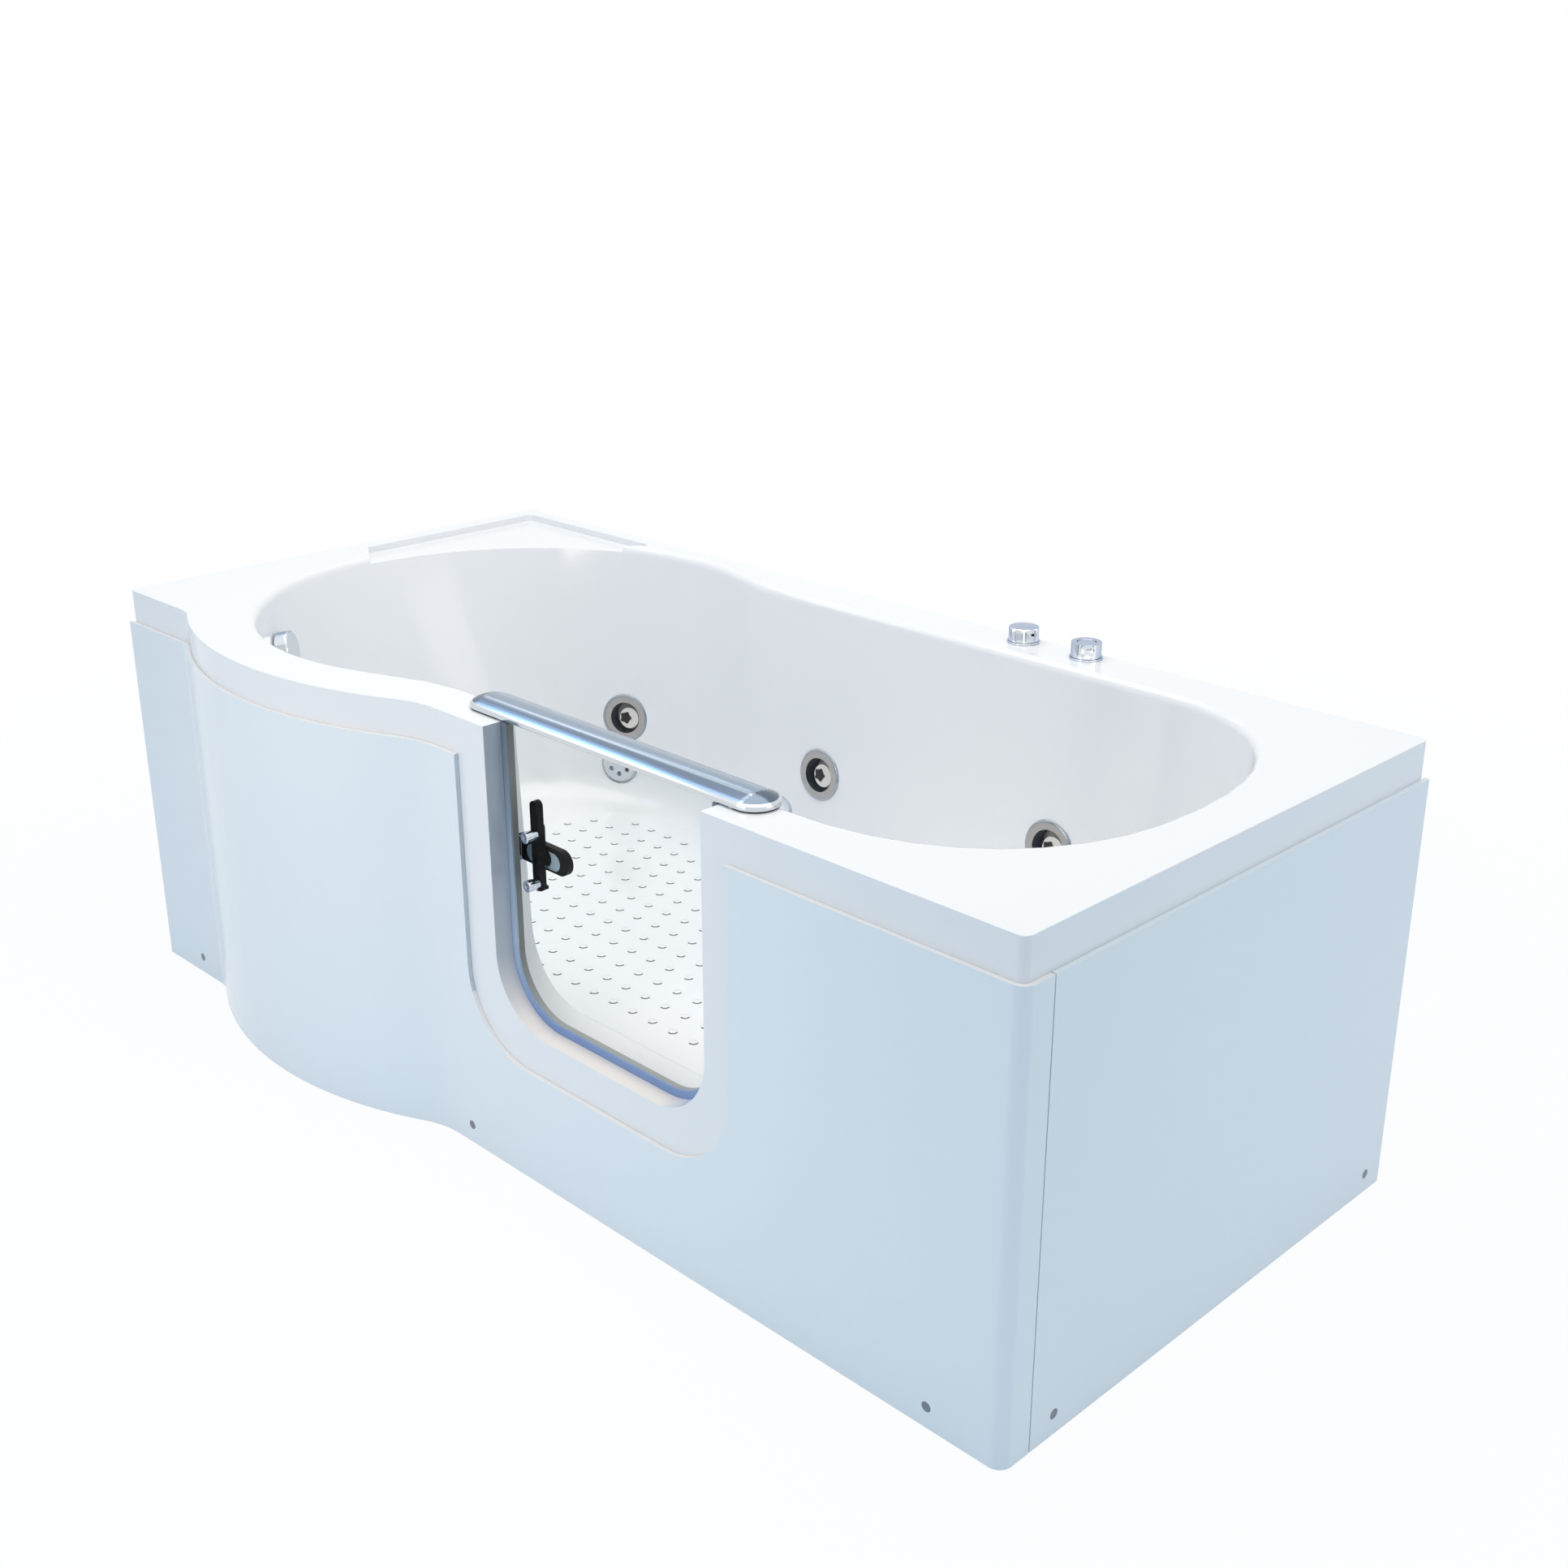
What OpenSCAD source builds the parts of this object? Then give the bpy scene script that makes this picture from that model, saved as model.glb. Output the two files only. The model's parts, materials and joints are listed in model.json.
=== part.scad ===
// Walk-in bathtub with an inward-opening glass door.
// A one-piece moulded tub with a round end that bulges forward, a doorway in its front,
// a wrap-round front panel and an end panel, water jets with their pump, and a pop-up waste.
// Inside this file x = 0 is the middle of the tub, y = 0 the straight front of its rim
// and z = 0 the floor. The last module moves the whole bath to the middle of its footprint.

/* [Tub] */
// Length of the tub over its rim
tub_length = 1700; // [1650:10:1760]
// Depth of the tub over its rim, without the bulge
tub_depth = 758; // [740:2:790]
// Height of the rim's top above the floor
rim_height = 600; // [580:5:640]
// Thickness of the moulded shell
shell_wall = 6; // [4:0.5:8]
// Height of the skirt that hangs from the rim's edge
skirt_height = 70; // [60:5:90]
// Radius of the rim's upright corners
rim_corner = 10; // [4:1:20]
// Height of the inside floor
floor_height = 175; // [165:1:185]
// Height over which the floor curves up into the walls
floor_curve = 60; // [40:5:70]
// Radius of the edge from the rim into the basin
basin_lip = 12; // [6:1:16]

/* [Bulge] */
// How far the round end stands forward of the straight front
bulge_depth = 75; // [60:1:85]
// Radius of the bulge in plan
bulge_radius = 585; // [560:5:620]
// Place of the bulge's middle along the tub
bulge_x = -392; // [-410:2:-380]
// Radius where the left of the bulge meets the straight front
bulge_fillet_left = 60; // [40:5:80]
// Radius where the right of the bulge meets the straight front
bulge_fillet_right = 150; // [120:5:170]

/* [Basin] */
// Width of the rim in front of the round end
round_rim_front = 79; // [70:1:90]
// Width of the rim behind the round end
round_rim_back = 34; // [30:1:45]
// Width of the rim along the straight front
rim_front_width = 74; // [70:1:80]
// Width of the rim along the straight back
rim_back_width = 76; // [72:1:84]
// Width of the rim at the right end
rim_end_width = 75; // [70:1:90]
// Width of the blend between the round end and the straight sides
waist_blend = 60; // [40:5:70]
// Depth of the moulded corner shelf in the rim
shelf_depth = 10; // [6:1:12]

/* [Doorway] */
// Left edge of the doorway from the tub's middle
door_left = 29; // [20:1:40]
// Clear width of the doorway in the tub's front
door_width = 383; // [370:1:390]
// Height of the doorway's sill
sill_height = 209; // [205:1:215]
// Radius of the doorway's lower corners
door_corner = 90; // [80:1:95]
// Depth of the outer reveal
reveal_depth = 26; // [24:1:30]
// How far the pocket behind the reveal reaches past the doorway at the left
pocket_left = 35; // [33:1:37]
// How far the pocket behind the reveal reaches past the doorway at the right
pocket_right = 66; // [64:1:68]
// How far the pocket reaches below the sill
pocket_drop = 17; // [15:1:18]
// Width of the frame ring seen round the doorway
ring_width = 9.6; // [7:0.2:11]
// Thickness of the frame ring
ring_thickness = 3; // [2:0.5:4]
// Thickness of the door's seal
seal_thickness = 8.2; // [7:0.2:9]
// Width of the door's seal
seal_width = 14; // [11:1:15]

/* [Door] */
// Thickness of the door's glass
glass_thickness = 8; // [6:1:8]
// How far the glass laps over the frame ring
glass_lap = 17.6; // [16:0.2:18]
// How far the rail reaches past the doorway's left edge
rail_over_left = 81; // [70:1:110]
// How far the rail reaches past the doorway's right edge
rail_over_right = 56; // [50:1:64]
// Width of the rail
rail_width = 58.5; // [56:0.5:66]
// Height of the rail's upright sides
rail_side = 5.5; // [5:0.5:8]
// How far the rail's top swells above its sides
rail_crown = 9.5; // [8:0.5:11]
// Thickness of the rubber pads under the rail's ends
rail_pad = 1.1; // [1:0.1:2]

/* [Hinge] */
// Radius of the hinge post
post_radius = 8; // [7:0.5:9]
// Radius of the hinge knuckles
knuckle_radius = 14; // [13:0.5:15]
// Height of a hinge knuckle
knuckle_height = 37; // [30:1:45]
// Radius of the domed cap on the hinge post
dome_radius = 22; // [20:0.5:23]
// Running clearance of the hinge bores
hinge_clearance = 0.05; // [0.03:0.01:0.1]

/* [Latch] */
// Place of the latch's pivot to the right of the doorway's left edge
latch_inset = 31; // [30:1:34]
// Depth of the latch's pivot below the rim
latch_drop = 179; // [160:1:200]
// Width of the latch's upright bar
latch_bar_width = 14.5; // [14:0.5:18]
// Depth of the latch's bar at its ends
latch_bar_depth = 9.5; // [8:0.5:12]
// Length of the latch's bar above the pivot
latch_bar_up = 79; // [70:1:90]
// Length of the latch's bar below the pivot
latch_bar_down = 39; // [38:1:44]
// Length of the turning handle
latch_handle_length = 104; // [100:1:105]
// How far the handle's middle lies to the left of its pivot
latch_handle_shift = 8; // [4:0.5:8]
// Height of the turning handle
latch_handle_height = 33; // [32:1:40]
// Radius of the tongue's sweep
tongue_reach = 50; // [49:0.5:51]
// Spacing of the two bolts through the glass
latch_bolt_spacing = 65; // [60:1:66]

/* [Panels] */
// Thickness of the panels
panel_thickness = 6.2; // [3:0.1:6.2]
// How far the panels stand proud of the rim
panel_proud = 6.5; // [6:0.1:8]
// Depth of the panels' top edge below the rim
panel_drop = 48; // [40:1:60]
// Depth of the front panel's return round the right corner
panel_return = 45; // [40:1:60]
// Gap between the front panel and the end panel
panel_gap = 1.8; // [1:0.1:3]
// Distance from the doorway's side to the panel's cut-out at the left
cutout_left = 54; // [48:1:58]
// Distance from the doorway's side to the panel's cut-out at the right
cutout_right = 43; // [40:1:48]
// Distance from the sill down to the panel's cut-out
cutout_below = 52; // [45:1:60]
// Radius of the cut-out's lower corners
cutout_corner = 110; // [95:1:120]
// Radius of the screw caps
cap_radius = 6; // [5:0.5:8]
// Height of the screw caps above the floor
cap_height = 26.5; // [20:0.5:35]

/* [Support] */
// Thickness of the board under the tub's floor
board_thickness = 18; // [15:1:22]
// Side of the square steel tube
tube_side = 30; // [25:1:30]
// Wall of the square steel tube
tube_wall = 2.5; // [2:0.5:3]
// Radius of the levelling studs
stud_radius = 6; // [5:1:8]
// Radius of the foot pads
pad_radius = 25; // [20:1:30]
// Height of the foot pads
pad_height = 10; // [8:1:14]

/* [Jets] */
// Radius of a jet's face
jet_radius = 39.5; // [36:0.5:42]
// Radius of the flat of a jet's face
jet_face = 35.5; // [33:0.5:38]
// Radius of the recess in a jet's face
jet_recess = 25.8; // [24:0.1:28]
// How far a jet's face stands off the wall
jet_proud = 3; // [2:0.5:6]
// How deep the nozzle's edge lies behind the wall
nozzle_depth = 22; // [18:1:24]
// How far the nozzle swells from its edge to its opening
nozzle_swell = 9; // [4:1:12]
// Radius of the water pipe
water_pipe = 14; // [12:1:16]
// Radius of the air pipe
air_pipe = 8; // [6:1:10]
// Radius of the suction pipe
suction_pipe_radius = 18; // [16:1:20]
// Radius of the pump's motor
motor_radius = 52; // [48:1:54]
// Radius of the pump's wet end
volute_radius = 58; // [56:1:62]
// Radius of the pump's impeller
impeller_radius = 44; // [40:1:48]

/* [Controls] */
// Radius of the two knobs on the back rim
knob_radius = 20.5; // [18:0.5:22]
// Height of the knobs above the rim
knob_height = 22; // [18:1:28]
// Radius of the knobs' base rings
knob_base = 22.5; // [22:0.5:24]
// Radius of the push button
button_radius = 12.5; // [11:0.5:13]
// Travel of the push button
button_travel = 4; // [3:0.5:5]

/* [Waste] */
// Radius of the overflow knob's cap
overflow_cap = 26; // [22:1:28]
// Radius of the overflow's neck through the wall
overflow_stem = 18; // [16:1:20]
// Distance of the overflow knob's face from the wall
overflow_length = 24; // [22:1:30]
// Radius of the drain's flange
drain_radius = 35; // [32:1:38]
// Radius of the drain plug
plug_radius = 30; // [27:1:31]
// Lift of the drain plug
plug_lift = 12; // [8:1:14]
// Outer radius of the waste pipes
waste_pipe = 20; // [18:1:22]

/* [Hidden] */

$fn = 64;
fit = 0.3;             // gap between pieces that only lie beside each other
eps = 1;               // how far a cutting shape runs past what it cuts

half_length = tub_length / 2;
round_radius = (tub_depth + bulge_depth - round_rim_front - round_rim_back) / 2;
latch_height = rim_height - latch_drop;
panel_height = rim_height - panel_drop;
deck_under = rim_height - shell_wall;
bulge_y = bulge_radius - bulge_depth;
rim_r = rim_corner;

// ---------- plan curves ----------

function lerp(a, b, t) = a + (b - a) * t;
function at_angle(c, r, a) = [c.x + r * cos(a), c.y + r * sin(a)];
function arc(c, r, a0, a1, n) = [for (i = [0:n]) at_angle(c, r, lerp(a0, a1, i / n))];

// Centres of the two hollow curves beside the bulge
function fillet_dx(r) = sqrt(pow(bulge_radius + r, 2) - pow(bulge_y + r, 2));
fillet_left = [bulge_x - fillet_dx(bulge_fillet_left), -bulge_fillet_left];
fillet_right = [bulge_x + fillet_dx(bulge_fillet_right), -bulge_fillet_right];
bulge_from = atan2(bulge_y + bulge_fillet_left, bulge_x - fillet_left.x);
bulge_to = atan2(bulge_y + bulge_fillet_right, bulge_x - fillet_right.x);

// The front of the bath from left to right, o outward of the rim's front
function front_line(o) = concat(
    arc(fillet_left, bulge_fillet_left - o, 90, bulge_from, 6),
    arc([bulge_x, bulge_y], bulge_radius + o, 180 + bulge_from, 180 + bulge_to, 36),
    arc(fillet_right, bulge_fillet_right - o, bulge_to, 90, 8));

// The rim's outline, o outward of its edge, counter-clockwise from the front left
function rim_outline(o) = concat(
    arc([-half_length + rim_r, rim_r], rim_r + o, 180, 270, 4),
    front_line(o),
    arc([half_length - rim_r, rim_r], rim_r + o, 270, 360, 8),
    arc([half_length - rim_r, tub_depth - rim_r], rim_r + o, 0, 90, 4),
    arc([-half_length + rim_r, tub_depth - rim_r], rim_r + o, 90, 180, 4));

// ---------- basin curves ----------
// A level of the basin: [centre x, centre y, half length, half depth, squareness] of the
// round end, [front y, back y] of the straight sides, and [front corner x, back corner x,
// middle y, end x, squareness] of the right end.
front_straight = rim_front_width;
back_straight = tub_depth - rim_back_width;
end_straight = half_length - rim_end_width;
round_centre = [-half_length + 453, round_rim_front - bulge_depth + round_radius];
right_centre_y = tub_depth / 2 - 2;

rim_level = [[round_centre.x, round_centre.y, round_radius, round_radius, 2],
    [front_straight, back_straight], [half_length - 380, half_length - 320,
        right_centre_y, end_straight, 2.3]];
wall_level = [[round_centre.x + 22, round_centre.y + 2, round_radius - 90, round_radius - 38, 2.4],
    [front_straight + 14, back_straight - 34], [half_length - 395, half_length - 340,
        right_centre_y, end_straight - 40, 2.3]];
floor_level = [[round_centre.x + 47, round_centre.y + 2, round_radius - 180, round_radius - 85, 3],
    [front_straight + 51, back_straight - 92], [half_length - 410, half_length - 370,
        right_centre_y - 7, end_straight - 115, 2.4]];
wall_foot = floor_height + floor_curve;
lip_height = rim_height - basin_lip;

function grow(p, d) = [[p[0][0], p[0][1], p[0][2] + d, p[0][3] + d, p[0][4]],
    [p[1][0] - d, p[1][1] + d], [p[2][0], p[2][1], p[2][2], p[2][3] + d, p[2][4]]];
function signed_power(v, n) = sign(v) * pow(abs(v), 2 / n);
function oval(cx, cy, a, b, n, q) =
    [cx + a * signed_power(cos(q), n), cy + b * signed_power(sin(q), n)];
function oval_height(p, x) = abs(x - p[0]) >= p[2] ? 0
    : p[3] * pow(1 - pow(abs(x - p[0]) / p[2], p[4]), 1 / p[4]);
function soft_min(a, b, k) = let (h = max(k - abs(a - b), 0) / k) min(a, b) - h * h * k / 4;
function soft_max(a, b, k) = -soft_min(-a, -b, k);

round_steps = 26;
side_steps = 16;
corner_steps = 10;
function side_x(p, corner_x, i) = lerp(p[0][0], corner_x, pow(i / side_steps, 1.6));

// One level's outline, counter-clockwise from the back of the round end
function level_line(p) = concat(
    [for (i = [0:round_steps]) oval(p[0][0], p[0][1], p[0][2], p[0][3], p[0][4],
        90 + 180 * i / round_steps)],
    [for (i = [1:side_steps]) let (x = side_x(p, p[2][0], i))
        [x, soft_min(p[0][1] - oval_height(p[0], x), p[1][0], waist_blend)]],
    [for (i = [1:corner_steps]) oval(p[2][0], p[2][2], p[2][3] - p[2][0], p[2][2] - p[1][0],
        p[2][4], 270 + 90 * i / corner_steps)],
    [for (i = [1:corner_steps]) oval(p[2][1], p[2][2], p[2][3] - p[2][1], p[1][1] - p[2][2],
        p[2][4], 90 * i / corner_steps)],
    [for (i = [side_steps - 1:-1:1]) let (x = side_x(p, p[2][1], i))
        [x, soft_max(p[0][1] + oval_height(p[0], x), p[1][1], waist_blend)]]);

function at_z(line, z) = [for (q = line) [q.x, q.y, z]];
function blend(a, b, t) = [for (i = [0:len(a) - 1]) lerp(a[i], b[i], t)];

// The levels of the basin from the floor up, d outward of its inside
function wall_rings(d) = let (f = level_line(grow(floor_level, d)), w = level_line(grow(wall_level, d)))
    [for (i = [0:5]) at_z(blend(f, w, sin(18 * i)), floor_height - d + floor_curve * (1 - cos(18 * i)))];
function rim_ring(d, z) = at_z(level_line(grow(rim_level, d)), z);

cavity_rings = concat(wall_rings(0), [rim_ring(0, lip_height)],
    [for (i = [1:3]) rim_ring(basin_lip * (1 - cos(30 * i)), lip_height + basin_lip * sin(30 * i))],
    [rim_ring(basin_lip, rim_height + eps)]);
outer_rings = concat(wall_rings(shell_wall), [rim_ring(shell_wall, lip_height)],
    [rim_ring(shell_wall, rim_height - shell_wall / 2)]);

// A solid between stacked rings of points, closed at both ends by fans about a middle point
module loft(rings) {
    n = len(rings[0]);
    last = len(rings) - 1;
    low = (last + 1) * n;
    middles = [for (k = [0, last]) [0, right_centre_y, rings[k][0].z]];
    faces = concat([for (i = [0:n - 1]) [low, i, (i + 1) % n]],
        [for (k = [0:last - 1]) for (i = [0:n - 1])
            [k * n + i, (k + 1) * n + i, (k + 1) * n + (i + 1) % n]],
        [for (k = [0:last - 1]) for (i = [0:n - 1])
            [k * n + i, (k + 1) * n + (i + 1) % n, k * n + (i + 1) % n]],
        [for (i = [0:n - 1]) [low + 1, last * n + (i + 1) % n, last * n + i]]);
    polyhedron(concat([for (r = rings) for (q = r) q], middles), faces);
}

// ---------- wall places ----------
// The round end's wall at angle q and height z, and its direction into the basin
function wall_share(z) = (z - wall_foot) / (lip_height - wall_foot);
function round_wall(q, z) = let (a = wall_level[0], b = rim_level[0],
    m = lerp(oval(a[0], a[1], a[2], a[3], a[4], q), oval(b[0], b[1], b[2], b[3], b[4], q),
        wall_share(z))) [m.x, m.y, z];
function into_basin(q, z) = let (du = round_wall(q + 0.1, z) - round_wall(q - 0.1, z),
    dv = round_wall(q, z + 1) - round_wall(q, z - 1), n = cross(dv, du)) n / norm(n);
function back_wall(x, z) = [x, lerp(wall_level[1][1], rim_level[1][1], wall_share(z)), z];
back_slope = atan2(rim_level[1][1] - wall_level[1][1], lip_height - wall_foot);
back_normal = [0, -cos(back_slope), sin(back_slope)];

// Places and directions of the three jets and the suction
jet_heights = [rim_height - 284, rim_height - 258, rim_height - 249];
suction_height = floor_height + 62;
jet_places = [[round_wall(113.2, jet_heights[0]), into_basin(113.2, jet_heights[0])],
    [back_wall(-half_length + 805, jet_heights[1]), back_normal],
    [back_wall(half_length - 467, jet_heights[2]), back_normal]];
suction_place = [round_wall(115.7, suction_height), into_basin(115.7, suction_height)];
module facing(place) {
    translate(place[0]) rotate([0, acos(place[1].z), atan2(place[1].y, place[1].x)]) children();
}

// ---------- doorway places ----------
door_right = door_left + door_width;
pocket = [door_left - pocket_left, door_right + pocket_right, sill_height - pocket_drop,
    door_corner + pocket_drop];
ring_hole = [door_left + ring_width, door_right - ring_width, sill_height + ring_width + 0.4,
    door_corner - ring_width];
ring_front = reveal_depth + fit;
ring_back = ring_front + ring_thickness;
seal_front = ring_back + 0.2;
seal_back = seal_front + seal_thickness;
glass_front = seal_back + fit;
glass_back = glass_front + glass_thickness;
glass_edge = [ring_hole[0] - glass_lap, ring_hole[1] + glass_lap + 5, ring_hole[2] - glass_lap,
    ring_hole[3] + glass_lap];
rail_base = rim_height + fit + rail_pad + 0.1;
glass_top = rail_base + rail_side;
hinge_axis = [door_right + 20, glass_back + 42];

// A flat U-shaped outline with rounded lower corners, from [left, right, bottom, corner]
module u_outline(u, top) {
    w = u[1] - u[0];
    translate([u[0], u[2] + u[3]]) square([w, top - u[2] - u[3]]);
    translate([u[0] + u[3], u[2]]) square([w - 2 * u[3], top - u[2]]);
    for (x = [u[0] + u[3], u[1] - u[3]]) translate([x, u[2] + u[3]]) circle(u[3]);
}
module u_prism(u, y0, y1, top) {
    translate([0, y1, 0]) rotate([90, 0, 0]) linear_extrude(y1 - y0) u_outline(u, top);
}
function widen(u, d) = [u[0] - d, u[1] + d, u[2] - d, u[3] + d];

// ---------- tub ----------
face_drop = 84;        // how far the flat front hangs below the sill
pocket_reach = 150;    // depth over which the pocket opens into the basin
outer_opening = [door_left, door_right, sill_height, door_corner];
drain_place = [-half_length + 400, round_centre.y - 159];
overflow_height = rim_height - 77.3;
overflow_place = [round_wall(222.7, overflow_height), into_basin(222.7, overflow_height)];
air_knob_place = [half_length - 584, tub_depth - 23];
switch_place = [half_length - 479, tub_depth - 23];
air_hole = 12;
switch_hole = 12;
jet_hole = 31.5;
suction_hole = 20;
// Places in the back left corner, from the rim's edges
function from_corner(list) = [for (q = list) [-half_length + q.x, tub_depth - q.y]];
shelf = from_corner([[30, 358], [145, 428], [240, 218], [320, 52], [340, 33], [340, 25], [38, 25], [30, 33]]);
tray = from_corner([[24, 362], [143, 435], [250, 218], [330, 58], [347, 36], [347, 19], [24, 19]]);

module shelf_shape() { polygon(shelf); }

// Flat strip on the front that the doorway is cut in
module front_face() {
    face = [door_left - cutout_left - 40, door_right + cutout_right + 40, sill_height - face_drop,
        cutout_corner + 20];
    u_prism(face, 0, shell_wall, deck_under + eps);
}

module door_liners() {
    u_prism(widen(outer_opening, shell_wall), 0, reveal_depth, deck_under + eps);
    u_prism(widen(pocket, shell_wall), reveal_depth - shell_wall, pocket_reach, deck_under + eps);
}

module door_openings() {
    u_prism(outer_opening, -eps, reveal_depth + eps, rim_height + eps);
    u_prism(pocket, reveal_depth, pocket_reach + eps, deck_under);
    translate([pocket[0], ring_back, deck_under - eps])
        cube([door_right + 28 - pocket[0], front_straight, shell_wall + 2 * eps]);
    translate([door_left, reveal_depth, deck_under - eps])
        cube([door_width, ring_back - reveal_depth + eps, shell_wall + 2 * eps]);
}

module fitting_holes() {
    for (p = jet_places) facing(p) {
        translate([0, 0, -20]) cylinder(r = jet_hole, h = 40);
        translate([0, 0, -0.1]) cylinder(r = jet_radius + 1, h = 20);
    }
    facing(suction_place) {
        translate([0, 0, -20]) cylinder(r = suction_hole, h = 40);
        cylinder(r = suction_radius + 1, h = 30);
    }
    facing(overflow_place) translate([0, 0, -20]) cylinder(r = overflow_stem + fit, h = 40);
    translate([drain_place.x, drain_place.y, floor_height - 2]) cylinder(r = drain_radius + fit, h = 10);
    translate([drain_place.x, drain_place.y, floor_height - 20]) cylinder(r = 24, h = 40);
    translate([air_knob_place.x, air_knob_place.y, deck_under - eps])
        cylinder(r = air_hole, h = shell_wall + 2 * eps);
    translate([switch_place.x, switch_place.y, deck_under - eps])
        cylinder(r = switch_hole, h = shell_wall + 2 * eps);
}

module tub_shell() {
    color("white") difference() {
        union() {
            loft(outer_rings);
            translate([0, 0, deck_under]) linear_extrude(shell_wall) polygon(rim_outline(0));
            translate([0, 0, rim_height - skirt_height]) linear_extrude(skirt_height - shell_wall / 2)
                difference() {
                    polygon(rim_outline(0));
                    polygon(rim_outline(-shell_wall));
                }
            translate([0, 0, rim_height - shelf_depth - shell_wall])
                linear_extrude(shelf_depth + shell_wall / 2) polygon(tray);
            front_face();
            door_liners();
            facing(suction_place) translate([0, 0, -shell_wall])
                cylinder(r = suction_radius + shell_wall, h = shell_wall + 2);
        }
        loft(cavity_rings);
        door_openings();
        fitting_holes();
        translate([0, 0, rim_height - shelf_depth]) linear_extrude(shelf_depth + eps) shelf_shape();
    }
}

board_top = floor_height - shell_wall;
board_under = board_top - board_thickness;
module base_board() {
    color("burlywood") translate([0, 0, board_under]) linear_extrude(board_thickness) difference() {
        polygon(level_line(grow(floor_level, -25)));
        translate(drain_place) circle(48);
    }
}

// ---------- door frame and seal ----------
lining = 3;
lining_foot = pocket[2] + pocket[3];
// Fine joints between the corners and the straight lengths of a U-shaped ring
joint_gap = 0.1;
module corner_joints(hole, level, front, back) {
    depth = back - front;
    for (x = [hole[0] + hole[3], hole[1] - hole[3]]) translate([x, front, 0])
        cube([joint_gap, depth, level]);
    translate([-half_length, front, level - joint_gap]) cube([tub_length, depth, joint_gap]);
}
module door_frame() {
    outer = widen(pocket, -fit);
    color("gainsboro") {
        difference() {
            union() {
                u_prism(outer, ring_front, ring_back, deck_under - fit);
                translate([door_left + fit, ring_front, lining_foot])
                    cube([door_width - 2 * fit, ring_thickness, rim_height - lining_foot]);
            }
            u_prism(ring_hole, ring_front - eps, ring_back + eps, rim_height + eps);
            corner_joints(ring_hole, lining_foot, ring_front - eps, ring_back + eps);
        }
        translate([outer[0], ring_back, lining_foot])
            cube([lining, front_straight - 4 - ring_back, deck_under - fit - lining_foot]);
        translate([outer[1] - lining, ring_back, lining_foot])
            cube([lining, front_straight + 2 - ring_back, deck_under - fit - lining_foot]);
    }
}

module door_seal() {
    color("dimgray") difference() {
        u_prism(widen(ring_hole, seal_width), seal_front, seal_back, rim_height - 2);
        u_prism(widen(ring_hole, 0.2), seal_front - eps, seal_back + eps, rim_height);
        corner_joints(ring_hole, lining_foot, seal_front - eps, seal_back + eps);
    }
}

// ---------- panels ----------
cap_depth = 3;
screw_radius = 2;
screw_head = 4;
front_caps = [-half_length + 105, door_left - 67.6, half_length - 95];
end_caps = [79.5, tub_depth - 36.3];
panel_cutout = [door_left - cutout_left, door_right + cutout_right, sill_height - cutout_below,
    cutout_corner];

function panel_line(o) = concat([[-half_length, -o]], front_line(o),
    arc([half_length - rim_r, rim_r], rim_r + o, 270, 360, 8),
    [[half_length + o, panel_return - panel_proud]]);

// Moves children to each panel screw, with z along the screw into the bath
module at_front_caps() {
    for (x = front_caps) translate([x, -panel_proud, cap_height]) rotate([-90, 0, 0]) children();
}
module at_end_caps() {
    for (y = end_caps) translate([half_length + panel_proud, y, cap_height]) rotate([0, -90, 0])
        children();
}
module cap_hole() {
    translate([0, 0, -eps]) cylinder(r = cap_radius + 0.2, h = cap_depth + eps);
    cylinder(r = screw_radius + 0.3, h = panel_thickness + eps);
}

module front_panel() {
    back = panel_line(panel_proud - panel_thickness);
    color("aliceblue") difference() {
        linear_extrude(panel_height) polygon(concat(panel_line(panel_proud),
            [for (i = [len(back) - 1:-1:0]) back[i]]));
        u_prism(panel_cutout, -panel_proud - eps, eps, panel_height + eps);
        at_front_caps() cap_hole();
    }
}

module end_panel() {
    y0 = panel_return - panel_proud + panel_gap;
    color("aliceblue") difference() {
        translate([half_length + panel_proud - panel_thickness, y0, 0])
            cube([panel_thickness, tub_depth - y0, panel_height]);
        at_end_caps() cap_hole();
    }
}

block_depth = 25;
module panel_block() {
    difference() {
        translate([-20, -cap_height, panel_thickness + fit]) cube([40, 45, block_depth]);
        translate([0, 0, panel_thickness]) cylinder(r = screw_radius + 0.05, h = block_depth - 5);
    }
}
module panel_blocks() {
    color("tan") {
        for (x = front_caps) translate([x, -panel_proud, cap_height]) rotate([90, 0, 0])
            mirror([0, 0, 1]) panel_block();
        for (y = end_caps) translate([half_length + panel_proud, y, cap_height]) rotate([90, 0, 90])
            mirror([0, 0, 1]) panel_block();
    }
}

module panel_screw() {
    translate([0, 0, cap_depth]) cylinder(r = screw_radius, h = 18);
}
module panel_screws() {
    color("silver") {
        at_front_caps() panel_screw();
        at_end_caps() panel_screw();
    }
}
module screw_cap() { cylinder(r = cap_radius, h = cap_depth - 0.1); }
module screw_caps() {
    color("lightslategray") {
        at_front_caps() screw_cap();
        at_end_caps() screw_cap();
    }
}

// ---------- supports ----------
bar_places = [-half_length + 500, 80, half_length - 340];
bar_front = 150;
bar_back = tub_depth - 118;
bar_under = board_under - tube_side;
bar_feet = [bar_front + 40, bar_back - 40];
post_side = 25;
post_under = 45;
post_front = shell_wall + 2;
post_gaps = [58, 4];    // room between the doorway's liner and each post
posts_x = [pocket[0] - shell_wall - post_gaps[0] - post_side, pocket[1] + shell_wall + post_gaps[1]];
beam_under = 95;
stud_up = 22;

// Foot positions as [x, y, height of the tube's underside]
feet = concat([for (x = bar_places) for (y = bar_feet) [x, y, bar_under]],
    [for (x = posts_x) [x + post_side / 2, post_front + post_side / 2, post_under]]);

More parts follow.
